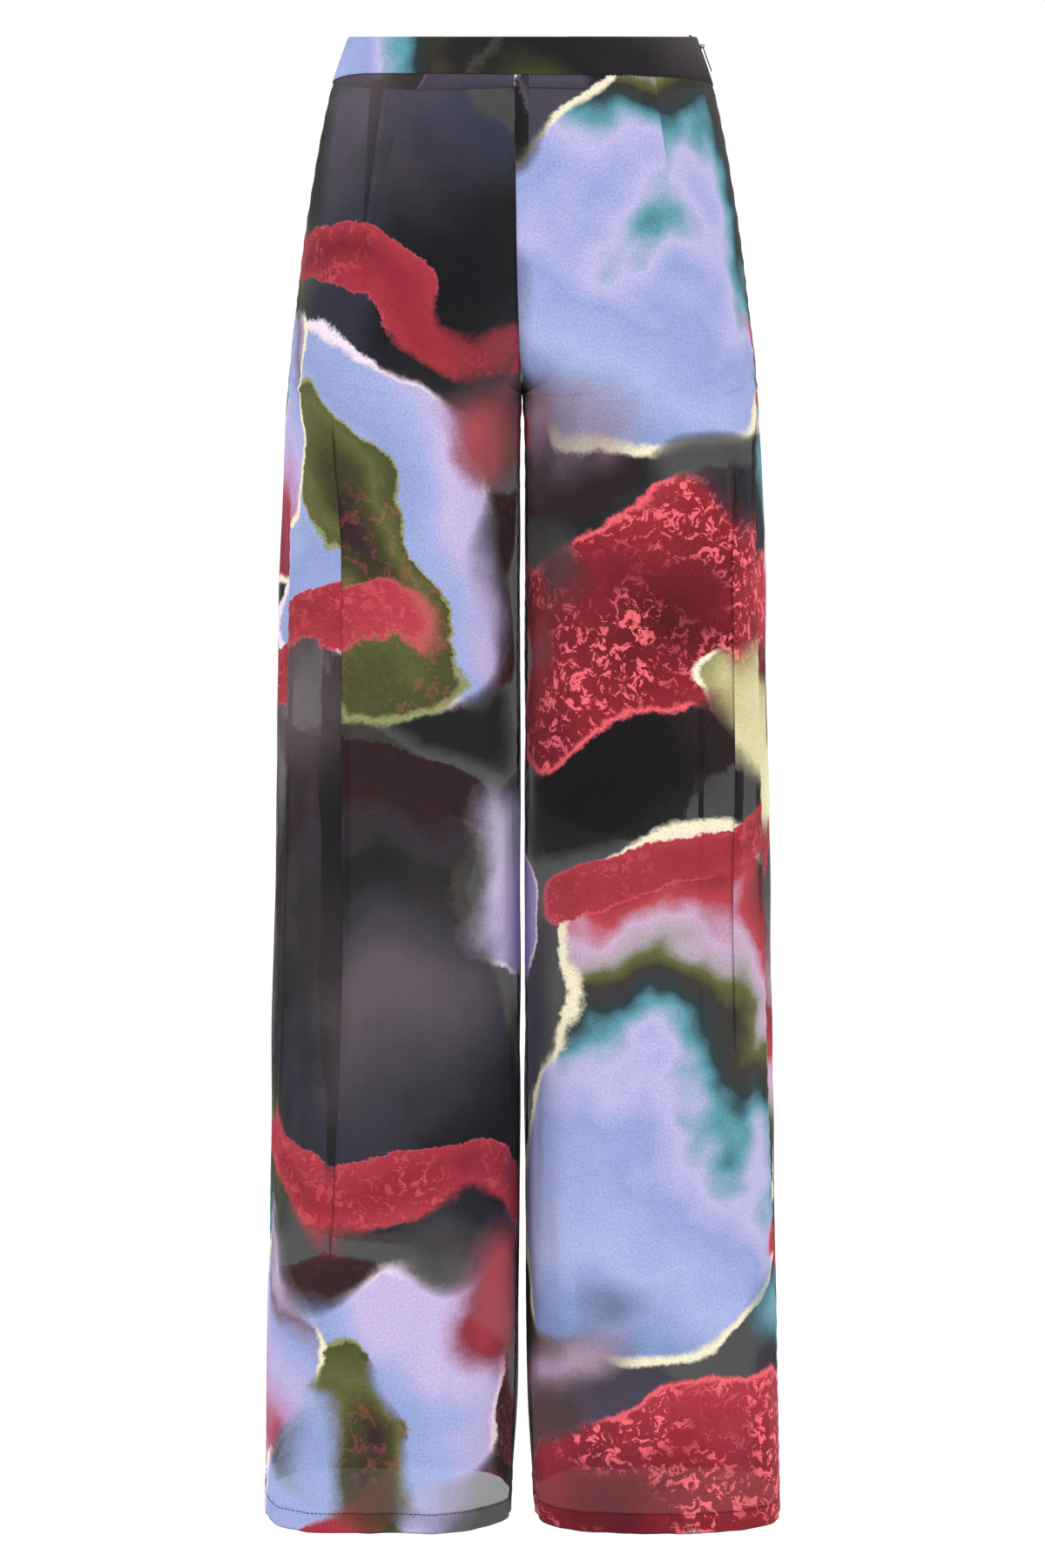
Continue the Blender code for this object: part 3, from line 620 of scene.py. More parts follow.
# Watercolour looks. stops are the colours from a wash's start at 0 to its end at 1, rim is the pale line
# where it dried, flow how far the colours wander into each other, soft how far its edge bleeds, ink how
# densely it fills the cloth, and flecks how much bright speckle it carries.
Look = namedtuple("Look", "stops rim flow soft ink flecks")
LOOKS = {
    "periwinkle": Look(((0.0, "#B7BFE2"), (0.35, "#8E9DCC"), (0.62, "#9DA9D8"), (0.85, "#C3B5DF")), "#F1DDEB",
                       0.8, 0.03, 1.0, 0.0),
    "lilac": Look(((0.0, "#E2D8EE"), (0.45, "#C0B1DC"), (0.9, "#A698C9")), "#F0DFEE", 0.8, 0.04, 1.0, 0.0),
    "agate": Look(
        ((0.02, "#7F94C4"), (0.18, "#A9B2DE"), (0.34, "#94A0D2"), (0.43, "#B9B4DF"), (0.49, "#5C97A5"),
         (0.54, "#2B3A3F"), (0.60, "#3A3530"), (0.66, "#62643A"), (0.71, "#A99CA4"), (0.77, "#C7A8C4"),
         (0.83, "#B3414C"), (0.91, "#8A2834"), (0.98, "#D3C4D8")), "#EFE6C8", 0.42, 0.03, 1.0, 0.0),
    "petal": Look(
        ((0.0, "#6F1F2C"), (0.20, "#A33A4C"), (0.32, "#B98BB4"), (0.50, "#B9AEDC"), (0.72, "#97A2D2"),
         (0.86, "#7D6577"), (0.97, "#B8A7C4")), "#EFE6C8", 0.5, 0.03, 1.0, 0.0),
    "cream": Look(((0.0, "#6E6F42"), (0.30, "#B5AE7C"), (0.6, "#DAD2A4"), (0.9, "#E9E2BC")), "#F3EDD2",
                  0.8, 0.04, 1.0, 0.0),
    "moss": Look(((0.0, "#35262A"), (0.4, "#44432B"), (0.72, "#5F6338"), (1.0, "#4A4E2E")), "#8E9160",
                 0.9, 0.05, 1.0, 0.12),
    "ember": Look(((0.0, "#4E161E"), (0.5, "#8A2530"), (0.9, "#A83441")), "#E8606C", 0.8, 0.05, 1.0, 1.0),
    "garland": Look(((0.0, "#7C212C"), (0.5, "#9C2F3B"), (1.0, "#B03D49")), "#DC5A66", 0.8, 0.10, 1.0, 0.35),
    "bleed": Look(((0.0, "#B33C48"), (0.6, "#8F3340"), (1.0, "#B56A86")), None, 0.6, 0.60, 0.6, 0.0),
    "teal": Look(((0.0, "#7FB0BC"), (0.55, "#4C8391"), (1.0, "#2C4A52")), None, 0.8, 0.55, 0.7, 0.0),
    "smoke": Look(((0.0, "#5F5257"), (0.6, "#463F43"), (1.0, "#2C2A2D")), None, 0.8, 0.80, 0.25, 0.0),
    "mauve": Look(((0.0, "#B49AB4"), (0.5, "#8A7385"), (1.0, "#4C4249")), None, 0.9, 0.65, 0.6, 0.0),
    "olive": Look(((0.0, "#767A45"), (0.5, "#51552F"), (1.0, "#2C2D22")), None, 0.9, 0.65, 0.6, 0.0),
    "night": Look(((0.0, "#161517"), (1.0, "#1B1A1C")), None, 0.5, 0.35, 1.0, 0.0),
}

# The generic print: washes of colour laid over each other in this order. across and down place a wash in
# the repeat, wide and tall are its half sizes and turn its angle. lean is 1 where its colours run across it
# in bands and 0 where they ring its middle, boxy makes it squarer, and field says which of three patterns
# flows inside.
Wash = namedtuple("Wash", "look across down wide tall turn lean boxy field")
WASHES = (
    Wash("night", 0.06, 0.60, 0.100, 0.060, 15, 0.0, False, 0),
    Wash("night", 0.56, 0.30, 0.110, 0.120, 10, 0.0, False, 1),
    Wash("smoke", 0.45, 0.16, 0.130, 0.160, 10, 0.0, False, 0),
    Wash("smoke", 0.33, 0.63, 0.150, 0.110, 20, 0.0, False, 2),
    Wash("olive", 0.33, 0.27, 0.130, 0.060, -35, 0.0, False, 1),
    Wash("agate", 0.150, 0.165, 0.200, 0.130, 62, 1.0, True, 1),
    Wash("teal", 0.270, 0.330, 0.090, 0.045, -30, 0.0, False, 0),
    Wash("mauve", 0.020, 0.340, 0.110, 0.050, 12, 0.0, False, 2),
    Wash("garland", 0.420, 0.300, 0.230, 0.023, -14, 0.3, True, 1),
    Wash("periwinkle", 0.450, 0.480, 0.115, 0.125, -8, 0.7, True, 2),
    Wash("moss", 0.440, 0.510, 0.042, 0.110, 14, 0.0, True, 0),
    Wash("petal", 0.330, 0.420, 0.105, 0.075, 50, 0.9, False, 0),
    Wash("ember", 0.130, 0.470, 0.150, 0.080, 12, 0.4, True, 2),
    Wash("garland", 0.260, 0.620, 0.240, 0.022, 18, 0.3, True, 0),
    Wash("cream", 0.230, 0.545, 0.100, 0.052, -28, 1.0, False, 1),
    Wash("bleed", 0.560, 0.400, 0.050, 0.050, 0, 0.0, False, 1),
    Wash("lilac", 0.560, 0.080, 0.070, 0.100, -20, 0.8, True, 1),
)


def build_print(settings):
    """The print as a node group: a place on the flat cloth in metres goes in, its colour and how densely ink
    fills the cloth come out."""
    tree = bpy.data.node_groups.new("watercolour_print", "ShaderNodeTree")
    tree.interface.new_socket("Place", in_out="INPUT", socket_type="NodeSocketVector")
    tree.interface.new_socket("Colour", in_out="OUTPUT", socket_type="NodeSocketColor")
    tree.interface.new_socket("Ink", in_out="OUTPUT", socket_type="NodeSocketFloat")
    nodes = Nodes(tree)
    cloth_place = nodes.add("NodeGroupInput").outputs["Place"]

    # Wet colour wanders over 23 cm and lobes over 6 cm, and its edge tears over 7 mm.
    place = cloth_place
    for size, detail, roughness, reach in (
        (0.23, 2.0, 0.5, settings.wander),
        (0.06, 2.0, 0.5, settings.lobes),
        (0.007, 3.0, 0.75, settings.torn_edge),
    ):
        source = nodes.noise(cloth_place, size, Detail=detail, Roughness=roughness)["Color"]
        centred = nodes.vector("SUBTRACT", source, (0.5, 0.5, 0.5))
        place = nodes.vector("ADD", place, nodes.vector("MULTIPLY", centred, (2 * reach, 2 * reach, 0.0)))
    bloom = nodes.noise(cloth_place, 0.14, Detail=3.5, Roughness=0.5)["Color"]
    fields = nodes.add("ShaderNodeSeparateColor", {0: bloom}).outputs
    fleck = nodes.noise(cloth_place, 0.009, Detail=3.0, Roughness=0.7, Distortion=0.9)["Fac"]
    drift = nodes.ramp(nodes.noise(cloth_place, 0.09, Detail=1.0)["Fac"], 0.40, 0.60)
    bled = nodes.ramp(nodes.noise(cloth_place, 0.16, Detail=1.0)["Fac"], 0.50, 0.60, 0.0, settings.bleeding)
    grains = nodes.noise(cloth_place, 0.0018, Detail=2.0)["Fac"]
    colour, ink = settings.ground, 0.0
    half = (settings.repeat_across / 2, settings.repeat_down / 2, 1)
    for wash in WASHES:
        look = LOOKS[wash.look]
        tile = nodes.vector("SUBTRACT", place, (wash.across, wash.down, 0))
        tile = nodes.vector("WRAP", tile, half, [-h for h in half])
        turned = nodes.add("ShaderNodeVectorRotate", {"Vector": tile, "Angle": math.radians(wash.turn)},
                           rotation_type="Z_AXIS").outputs[0]
        sized = nodes.vector("DIVIDE", turned, (wash.wide, wash.tall, 1))
        across = nodes.add("ShaderNodeSeparateXYZ", {0: sized}).outputs["X"]
        if wash.boxy:
            sized = nodes.vector("MULTIPLY", sized, sized)
        spread = nodes.add("ShaderNodeVectorMath", {0: sized}, operation="LENGTH").outputs["Value"]
        if wash.boxy:
            spread = nodes.maths("SQRT", spread)
        banded = nodes.maths("MULTIPLY_ADD", across, 0.5, 0.5)
        run = nodes.add("ShaderNodeMix", {0: wash.lean, 2: spread, 3: banded}).outputs[0]
        wander = nodes.maths("MULTIPLY_ADD", fields[wash.field], 2 * look.flow, -look.flow)
        body = nodes.colours(nodes.maths("ADD", run, wander), look.stops)
        if look.flecks:
            bright = nodes.maths("MULTIPLY", nodes.ramp(fleck, 0.53, 0.58), drift)
            body = nodes.blend(nodes.maths("MULTIPLY", bright, look.flecks), body, linear("#F06A74"))
        if look.rim:
            body = nodes.blend(nodes.ramp(spread, 0.90, 0.95), body, linear(look.rim))
        edge = nodes.maths("SUBTRACT", 1 - look.soft, bled)
        cover = nodes.ramp(spread, edge, 1.0, 1.0, 0.0)
        colour = nodes.blend(cover, colour, body)
        ink = nodes.add("ShaderNodeMix", {0: cover, 2: ink, 3: look.ink}).outputs[0]
    grain = nodes.ramp(grains, 0.3, 0.7, 0.88, 1.12, "LINEAR")
    nodes.add("NodeGroupOutput", {"Colour": nodes.scaled(colour, grain), "Ink": ink})
    return tree


def printed_cloth(name, panel, layers=1):
    """Sheer crepe chiffon as cut for a panel, so many layers of it pressed together: matte crinkled yarn that
    lets some light straight through, and less where the print's ink is dense."""
    cloth = bpy.context.scene.trousers_cloth
    group = bpy.data.node_groups.get("watercolour_print") or build_print(bpy.context.scene.trousers_print)
    cut = of_panel(CUTTINGS, panel)
    material, nodes = empty_material(name)
    flat = nodes.add("ShaderNodeUVMap", uv_map="flat_cloth").outputs["UV"]
    facing = nodes.vector("MULTIPLY", flat, (cut.flip, 1, 1))
    place = nodes.vector("ADD", facing, (cut.across, cut.down, 0))
    coloured = nodes.add("ShaderNodeGroup", {"Place": place}, node_tree=group).outputs
    # Crepe yarns are about 0.3 mm apart, drawn three times as coarse so that their pebbled grain shows.
    pebble = nodes.noise(flat, cloth.grain, Detail=2.0, Roughness=0.7)["Fac"]
    mottle = nodes.ramp(pebble, 0.3, 0.7, 0.86, 1.14, "LINEAR")
    shader = nodes.surface(
        Base_Color=nodes.scaled(coloured["Colour"], mottle), Normal=nodes.relief(pebble, 0.35, 0.0003),
        Roughness=0.85, IOR=1.46, Specular_IOR_Level=0.08, Sheen_Weight=0.03, Sheen_Roughness=0.5)
    if layers:
        clear = nodes.ramp(coloured["Ink"], 0.0, 1.0, 1 - cloth.opacity, 1 - cloth.inked_opacity, "LINEAR")
        stacked = nodes.maths("POWER", nodes.maths("MULTIPLY", clear, mottle), layers)
        nodes.tree.links.new(nodes.maths("SUBTRACT", 1.0, stacked), shader.inputs["Alpha"])
    return material


def yarn(name, code, roughness=0.7, pitch=0.0006):
    """Spun thread or woven tape: matte, with fine diagonal twist."""
    material, nodes = empty_material(name)
    where = nodes.add("ShaderNodeTexCoord").outputs["Object"]
    twist = nodes.add("ShaderNodeTexWave", {"Vector": where, "Scale": 1 / (pitch * 20), "Distortion": 1.0},
                      bands_direction="DIAGONAL").outputs["Fac"]
    shade = nodes.ramp(twist, 0.0, 1.0, 0.75, 1.2, "LINEAR")
    nodes.surface(Base_Color=nodes.scaled(linear(code)[:3], shade), Roughness=roughness, IOR=1.5,
                  Specular_IOR_Level=0.3, Normal=nodes.relief(twist, 0.3, 0.0001))
    return material


def lacquered_zinc(name, code):
    """Die-cast zinc under black lacquer: dark, smooth, with a soft gloss and faint orange peel."""
    material, nodes = empty_material(name)
    where = nodes.add("ShaderNodeTexCoord").outputs["Object"]
    peel = nodes.noise(where, 0.000625, Detail=2.0)["Fac"]
    worn = nodes.ramp(peel, 0.0, 1.0, 0.24, 0.40, "LINEAR")
    nodes.surface(Base_Color=linear(code), Roughness=worn, IOR=1.5, Coat_Weight=0.5, Coat_Roughness=0.12,
                  Normal=nodes.relief(peel, 0.15, 0.0001))
    return material


def dress(thing, material, body="garment", replaces=()):
    """Gives a piece its material and the body that carries it, and hides the frame's parts that it replaces.
    """
    thing.data.materials.clear()
    thing.data.materials.append(material)
    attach(thing, body)
    if replaces:
        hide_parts(*replaces)


# --- Settings -----------------------------------------------------------------------------------------


def share_setting(name, default, description):
    """A setting from 0 to 1."""
    return FloatProperty(name=name, description=description, default=default, min=0, max=1, subtype="FACTOR")


def size_setting(name, default, description):
    """A setting in metres."""
    return FloatProperty(name=name, description=description, default=default, unit="LENGTH", precision=5)


class ClothSettings(bpy.types.PropertyGroup):
    """How the cloth is woven and how finely its folds are modelled."""

    opacity: share_setting("Opacity", 0.73, "Share of light that one layer of cloth stops where it is bare")
    inked_opacity: share_setting(
        "Inked opacity", 0.975, "Share of light that one layer stops where the print is dense")
    grain: size_setting("Grain", 0.0009, "Size of the crepe's pebbles")
    row_step: size_setting("Row step", 0.0045, "Height of the panels' faces")
    detail: IntProperty(
        name="Detail", description="A quarter of the columns from the centre to a dart", default=12, min=4)


class PrintSettings(bpy.types.PropertyGroup):
    """The generic watercolour print."""

    ground: FloatVectorProperty(
        name="Ground", description="Colour of the cloth between the washes", subtype="COLOR", size=4,
        default=linear("#201F21"), min=0, max=1)
    repeat_across: size_setting("Repeat across", 0.62, "Width of the print's repeat")
    repeat_down: size_setting("Repeat down", 0.66, "Height of the print's repeat")
    wander: size_setting("Wander", 0.110, "How far the washes' outlines wander")
    lobes: size_setting("Lobes", 0.018, "How deep the lobes in the washes' outlines are")
    bleeding: share_setting("Bleeding", 0.45, "How far the washes' edges bleed where they were wet")
    torn_edge: size_setting("Torn edge", 0.0050, "How ragged the washes' edges are")


class SewingSettings(bpy.types.PropertyGroup):
    """Stitches and hems."""

    stitch: size_setting("Stitch", 0.0027, "Length of a hem stitch")
    stitch_gap: size_setting("Gap", 0.0006, "Cloth between two hem stitches")
    thread: size_setting("Thread", 0.00026, "Radius of the thread")
    hem: size_setting("Hem", 0.0155, "Depth of the turned-up hem")


class StudioSettings(bpy.types.PropertyGroup):
    """Floor, lights and the photograph's view."""

    distance: size_setting("Distance", 3.0, "From the camera to the garment's middle")
    height: size_setting("Height", -0.183, "Camera height from the origin")
    aim: size_setting("Aim", -0.5242, "Height that the camera looks at")
    lens: FloatProperty(name="Lens", description="Focal length", default=94.39, subtype="DISTANCE_CAMERA")
    floor: size_setting("Floor", -1.30, "Height of the floor")
    key: FloatProperty(
        name="Key light", description="Power of the large soft light", default=12.0, unit="POWER")
    sky: FloatProperty(name="Ambient", description="Strength of the light from all round", default=1.05)


# --- Pieces -------------------------------------------------------------------------------------------

# Where each panel is cut from the print, and which way its width runs across it.
Cutting = namedtuple("Cutting", "panel across down flip")
CUTTINGS = (
    Cutting("front_left", 0.14, 0.05, 1),
    Cutting("front_right", 0.45, 0.13, -1),
    Cutting("back_left", 0.44, 0.02, -1),
    Cutting("back_right", 0.13, 0.10, 1),
    Cutting("waistband", 1.738, 0.902, -1),
)


def panel_grid(panel, settings, hem):
    """The rows of a panel's points and flat places, from under the band to the hem and up inside it."""
    half, side_name = panel.split("_")
    drops = row_drops(PANEL_TOP, OUTSEAM, settings.row_step)
    points, flats, reaches = (
        np.array(part) for part in zip(*(panel_level(panel, section_at(d), settings.detail) for d in drops))
    )
    flats = np.stack([flats, np.broadcast_to(drops[:, None], flats.shape)], -1)
    turn = reaches[0] / section_at(drops[0]).total
    turn = turn if half == "front" else 1 - turn
    lift = band_edges(side_name, turn)[1] - UNDER_BAND - drops[0]
    at = drops[:, None] + lift * np.clip(1 - (drops - drops[0]) / PANEL_LIFT, 0, 1)[:, None]
    for grid in (points, flats):
        for column in range(grid.shape[1]):
            for i in range(grid.shape[2]):
                grid[:, column, i] = np.interp(at[:, column], drops, grid[:, column, i])
    inner, turned = [], []
    for up in np.linspace(0, hem, 7)[1:]:
        inset = HEM_INSET * smooth_step(up, 0, 0.003)
        inner.append(panel_level(panel, section_at(OUTSEAM - up), settings.detail, -inset)[0])
        turned.append(np.stack([flats[-1, :, 0], np.full(flats.shape[1], OUTSEAM + up)], -1))
    return np.concatenate([points, inner]), np.concatenate([flats, turned])


def cut_area(flats):
    """The area of the flat cloth under a grid of flat places."""
    a, b = flats[1:, 1:] - flats[:-1, :-1], flats[1:, :-1] - flats[:-1, 1:]
    return float(np.abs(a[..., 0] * b[..., 1] - a[..., 1] * b[..., 0]).sum() / 2)


class TROUSERS_OT_panels(bpy.types.Operator):
    """Cut, fold and hem the four sheer leg panels"""

    bl_idname = "trousers.panels"
    bl_label = "Leg panels"

    def execute(self, context):
        scene = context.scene
        for panel in PANELS:
            points, flats = panel_grid(panel, scene.trousers_cloth, scene.trousers_sewing.hem)
            piece = grid_mesh(f"{panel}_cloth", points, flats)
            material = printed_cloth(f"{panel}_chiffon", panel)
            dress(piece, material, replaces=(panel,))
            piece["cut_width"] = float(np.ptp(flats[..., 0]))
            piece["cut_length"] = float(flats[-1, :, 1].max() - flats[0, :, 1].min())
            piece["cut_area"] = cut_area(flats)
        return {"FINISHED"}


# Seam allowances: a strip of doubled cloth pressed flat behind a panel, from its seam to a free edge.
Allowance = namedtuple("Allowance", "name panel seam top bottom wide_top wide_bottom")
ALLOWANCES = (
    Allowance("centre_front_allowance", "front_left", "centre", 0.030, RISE, 0.0100, 0.0062),
    Allowance("left_side_allowance", "front_left", "side", 0.030, 1.078, 0.0085, 0.0085),
    Allowance("right_side_allowance", "front_right", "side", 0.030, 1.078, 0.0095, 0.0095),
    Allowance("left_inner_allowance", "back_left", "centre", RISE, 1.078, 0.0075, 0.0075),
    Allowance("right_inner_allowance", "back_right", "centre", RISE, 1.078, 0.0075, 0.0075),
    Allowance("centre_back_allowance", "back_right", "centre", 0.030, RISE, 0.0060, 0.0055),
)


def allowance_reach(strip, section, drop, share):
    """The reach of an allowance at a share of its width from the seam."""
    down = (drop - strip.top) / (strip.bottom - strip.top)
    wide = strip.wide_top + (strip.wide_bottom - strip.wide_top) * down
    off = SEAM_LINE + (wide - SEAM_LINE) * np.asarray(share)
    return off if strip.seam == "centre" else side_end(strip.panel, section) - off


class TROUSERS_OT_allowances(bpy.types.Operator):
    """Press the seam allowances flat inside the garment and overlock their edges"""

    bl_idname = "trousers.allowances"
    bl_label = "Seam allowances"

    def execute(self, context):
        thread = yarn("overlock_thread", "#3A3A3D")
        share_out = np.linspace(0, 1, 6)
        for strip in ALLOWANCES:
            rows, flat, loops = [], [], []
            for drop in row_drops(strip.top, strip.bottom, 0.006):
                section = section_at(drop)
                reach = allowance_reach(strip, section, drop, share_out)
                rows.append(cloth_point(strip.panel, section, reach, -ALLOWANCE_INSET))
                edges = panel_level(strip.panel, section, 4)[1][[0, -1]]
                place = edges[0] - reach if strip.seam == "centre" else edges[1] + reach[0] - reach
                flat.append(np.stack([place, np.full(6, drop)], -1))
            piece = grid_mesh(strip.name, rows, flat)
            dress(piece, printed_cloth(f"{strip.name}_doubled", strip.panel, 2))
            turns = np.arange(strip.top + 0.002, strip.bottom - 0.002, OVERLOCK_PITCH / 2)
            for turn, drop in enumerate(turns):
                section = section_at(drop)
                reach = allowance_reach(strip, section, drop, [OVERLOCK_BITE if turn % 2 else 1.0])
                loops.append(cloth_point(strip.panel, section, reach, -OVERLOCK_INSET)[0])
            edging = tube_mesh(f"{strip.name}_overlock", [loops], OVERLOCK_THREAD, sides=4)
            dress(edging, thread)
        return {"FINISHED"}


class TROUSERS_OT_darts(bpy.types.Operator):
    """Fold the cloth that each dart takes in behind its panel, toward the centre"""

    bl_idname = "trousers.darts"
    bl_label = "Darts"

    def execute(self, context):
        for dart in DARTS:
            half, side_name = dart.panel.split("_")
            rows, flat = [], []
            for drop in np.linspace(DART_FOLD_TOP, dart.tip, 30):
                section = section_at(drop)
                line = section.reach_of(along(DART_LINES, dart.panel, drop), half)
                reach = line - max(intake(dart.panel, drop), DART_FOLD_LEAST) * np.linspace(0.0, 1.0, 7)
                rows.append(cloth_point(dart.panel, section, reach, -DART_FOLD_INSET))
                flat.append(np.stack([reach - line, np.full(7, drop)], -1))
            piece = grid_mesh(f"{half}_dart_{side_name}_fold", rows, flat)
            dress(piece, printed_cloth(f"{piece.name}_doubled", dart.panel, 2),
                  replaces=(f"{half}_dart_{side_name}",))
        return {"FINISHED"}


def band_stations():
    """The band's columns from the zip forward and round to the zip again, as which side of the garment and
    a function of a section that gives the run."""
    def run_of(part, share):
        if part == "front":
            return lambda at: share * (at.side_run - ZIP_HALF_GAP)
        if part == "whole":
            return lambda at: share * at.total
        return lambda at: at.total - (1 - share) * (at.total - at.side_run - ZIP_HALF_GAP)

    quarter = BAND_COLUMNS // 2
    stations = [("left", run_of("front", 1 - i / quarter)) for i in range(quarter)]
    stations += [("right", run_of("whole", i / BAND_COLUMNS)) for i in range(BAND_COLUMNS)]
    return stations + [("left", run_of("back", 1 - i / quarter)) for i in range(quarter + 1)]


def band_point(station, drop, out):
    """A point of the band at a station, so far out of the garment's surface."""
    side_name, run_of = station
    section = section_at(drop)
    run = run_of(section)
    x, y = section.place(run)
    nx, ny = section.outward(np.array([run]))[0]
    if run <= 1e-9 or run >= section.total - 1e-9:
        return (0.0, y + out * math.copysign(1, y), ORIGIN_DROP - drop)
    side = 1 if side_name == "left" else -1
    return (side * (x + nx * out), y + ny * out, ORIGIN_DROP - drop)


def station_edges(station):
    """The drops of the band's top and bottom edges at a station."""
    side_name, run_of = station
    waist = section_at(0.0)
    return [float(v) for v in band_edges(side_name, run_of(waist) / waist.total)]


class TROUSERS_OT_waistband(bpy.types.Operator):
    """Fold the doubled waistband over its top edge, open at the zip"""

    bl_idname = "trousers.waistband"
    bl_label = "Waistband"

    def execute(self, context):
        rolled = BAND_WALL / 2
        outer, inner = BAND_PROUD, BAND_PROUD - BAND_WALL
        turned_edge = 0.0005
        rows, flats, edges, length = [], [], [], 0.0
        last = None
        for station in band_stations():
            top, bottom = station_edges(station)
            edges.append((top, bottom))
            heights = np.linspace(bottom - 0.0006, top + rolled, 9)
            profile = [(bottom, outer - turned_edge), *((h, outer) for h in heights)]
            for a in np.linspace(0, math.pi, 7)[1:-1]:
                profile.append((top + rolled * (1 - math.sin(a)), outer - rolled + rolled * math.cos(a)))
            profile += [(h, inner) for h in heights[::-1]]
            profile.append((bottom, inner + turned_edge))
            row = [band_point(station, float(drop), out) for drop, out in profile]
            here = np.array(row[1][:2])
            length += 0.0 if last is None else float(np.linalg.norm(here - last))
            last = here
            rows.append(row)
            spans = np.concatenate([[0], np.cumsum([math.dist(a, b) for a, b in zip(profile, profile[1:])])])
            flats.append([(length, -s) for s in spans])
        piece = grid_mesh("waistband_cloth", rows, flats)
        dress(piece, printed_cloth("interfaced_band_cloth", "waistband", 0),
              replaces=("waistband",))
        return {"FINISHED"}


class TROUSERS_OT_threads(bpy.types.Operator):
    """Sew the hems, the band's seam and the zip's coil, and tack the care label"""

    bl_idname = "trousers.threads"
    bl_label = "Stitching and label"

    def execute(self, context):
        sewing = context.scene.trousers_sewing
        thread = yarn("dark_polyester_thread", "#1B1B1E")
        paths = []
        for panel in PANELS:
            section = section_at(OUTSEAM - sewing.hem + 0.0010)
            reach = np.linspace(0.002, section.side_reach(panel.split("_")[0]) - 0.002, 120)
            line = cloth_point(panel, section, reach, 0.0001)
            out = cloth_point(panel, section, reach, 0.0011) - line
            paths += stitch_paths(line, sewing.stitch, sewing.stitch_gap, sewing.thread * 1.6, out)
        dress(tube_mesh("hem_stitches", paths, sewing.thread), thread)

        line, out = [], []
        for station in band_stations():
            low = station_edges(station)[1] + 0.0002
            a = np.array(band_point(station, low, BAND_PROUD - 0.0003))
            line.append(a)
            out.append(np.array(band_point(station, low, BAND_PROUD + 0.0007)) - a)
        paths = stitch_paths(line, BAND_STITCH, BAND_STITCH_GAP, BAND_STITCH_SINK, out)
        dress(tube_mesh("band_seam_stitches", paths, sewing.thread), thread)

        paths = []
        for toward in (-1, 1):
            coil = []
            for turn in np.arange(0, (ZIP_END_DROP - ZIP_TOP_DROP) / COIL_PITCH, 0.125):
                drop = ZIP_TOP_DROP + turn * COIL_PITCH
                section = section_at(drop)
                run = section.side_run + toward * (COIL_OFF + COIL_WIDE * math.cos(2 * math.pi * turn))
                out = -COIL_INSET + COIL_DEEP * math.sin(2 * math.pi * turn)
                at = section.place(run) + section.outward(np.array([run]))[0] * out
                coil.append((at[0], at[1], ORIGIN_DROP - drop))
            paths.append(coil)
        coil = tube_mesh("zip_coil", paths, COIL_WIRE, sides=4)
        dress(coil, yarn("nylon_coil", "#26262A", 0.35))

        rows, flat = [], []
        for drop in np.linspace(*LABEL_DROPS, 9):
            section = section_at(drop)
            reach = section.side_reach("front") - np.linspace(*LABEL_REACHES, 6)
            rows.append(cloth_point("front_right", section, reach, -LABEL_INSET))
            flat.append(np.stack([reach, np.full(6, drop)], -1))
        label = grid_mesh("care_label", rows, flat)
        dress(label, yarn("blank_satin_ribbon", "#C9C9CC", 0.45, 0.0004))
        return {"FINISHED"}


class TROUSERS_OT_zip(bpy.types.Operator):
    """Weave the zip's tapes and lacquer its slider and pull"""

    bl_idname = "trousers.zip"
    bl_label = "Zip"

    def execute(self, context):
        twill = yarn("twill_zip_tape", "#5A5A60", 0.8, 0.0005)
        for name in ("zip_tape_front", "zip_tape_back"):
            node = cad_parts[name]
            node.data.materials.clear()
            node.data.materials.append(twill)
        lacquer = lacquered_zinc("black_lacquered_zinc", "#141416")
        for name, body in (("zip_slider", "garment"), ("zip_pull", "pull")):
            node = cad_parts[name]
            piece = placed(f"{name}_cast", node.data.copy())
            edges = piece.modifiers.new("cast_edges", "BEVEL")
            edges.width = 0.00012
            edges.segments = 2
            edges.limit_method = "ANGLE"
            dress(piece, lacquer, body, replaces=(name,))
        return {"FINISHED"}


class TROUSERS_OT_cut(bpy.types.Operator):
    """Gather each panel's seam allowances and its dart's fold, without stating anything"""

    bl_idname = "trousers.cut"
    bl_label = "Flat cut"

    def execute(self, context):
        for panel in PANELS:
            half, side_name = panel.split("_")
            edges = [bpy.data.objects[strip.name] for strip in ALLOWANCES if strip.panel == panel]
            edges.append(bpy.data.objects[f"{half}_dart_{side_name}_fold"])
        return {"FINISHED"}


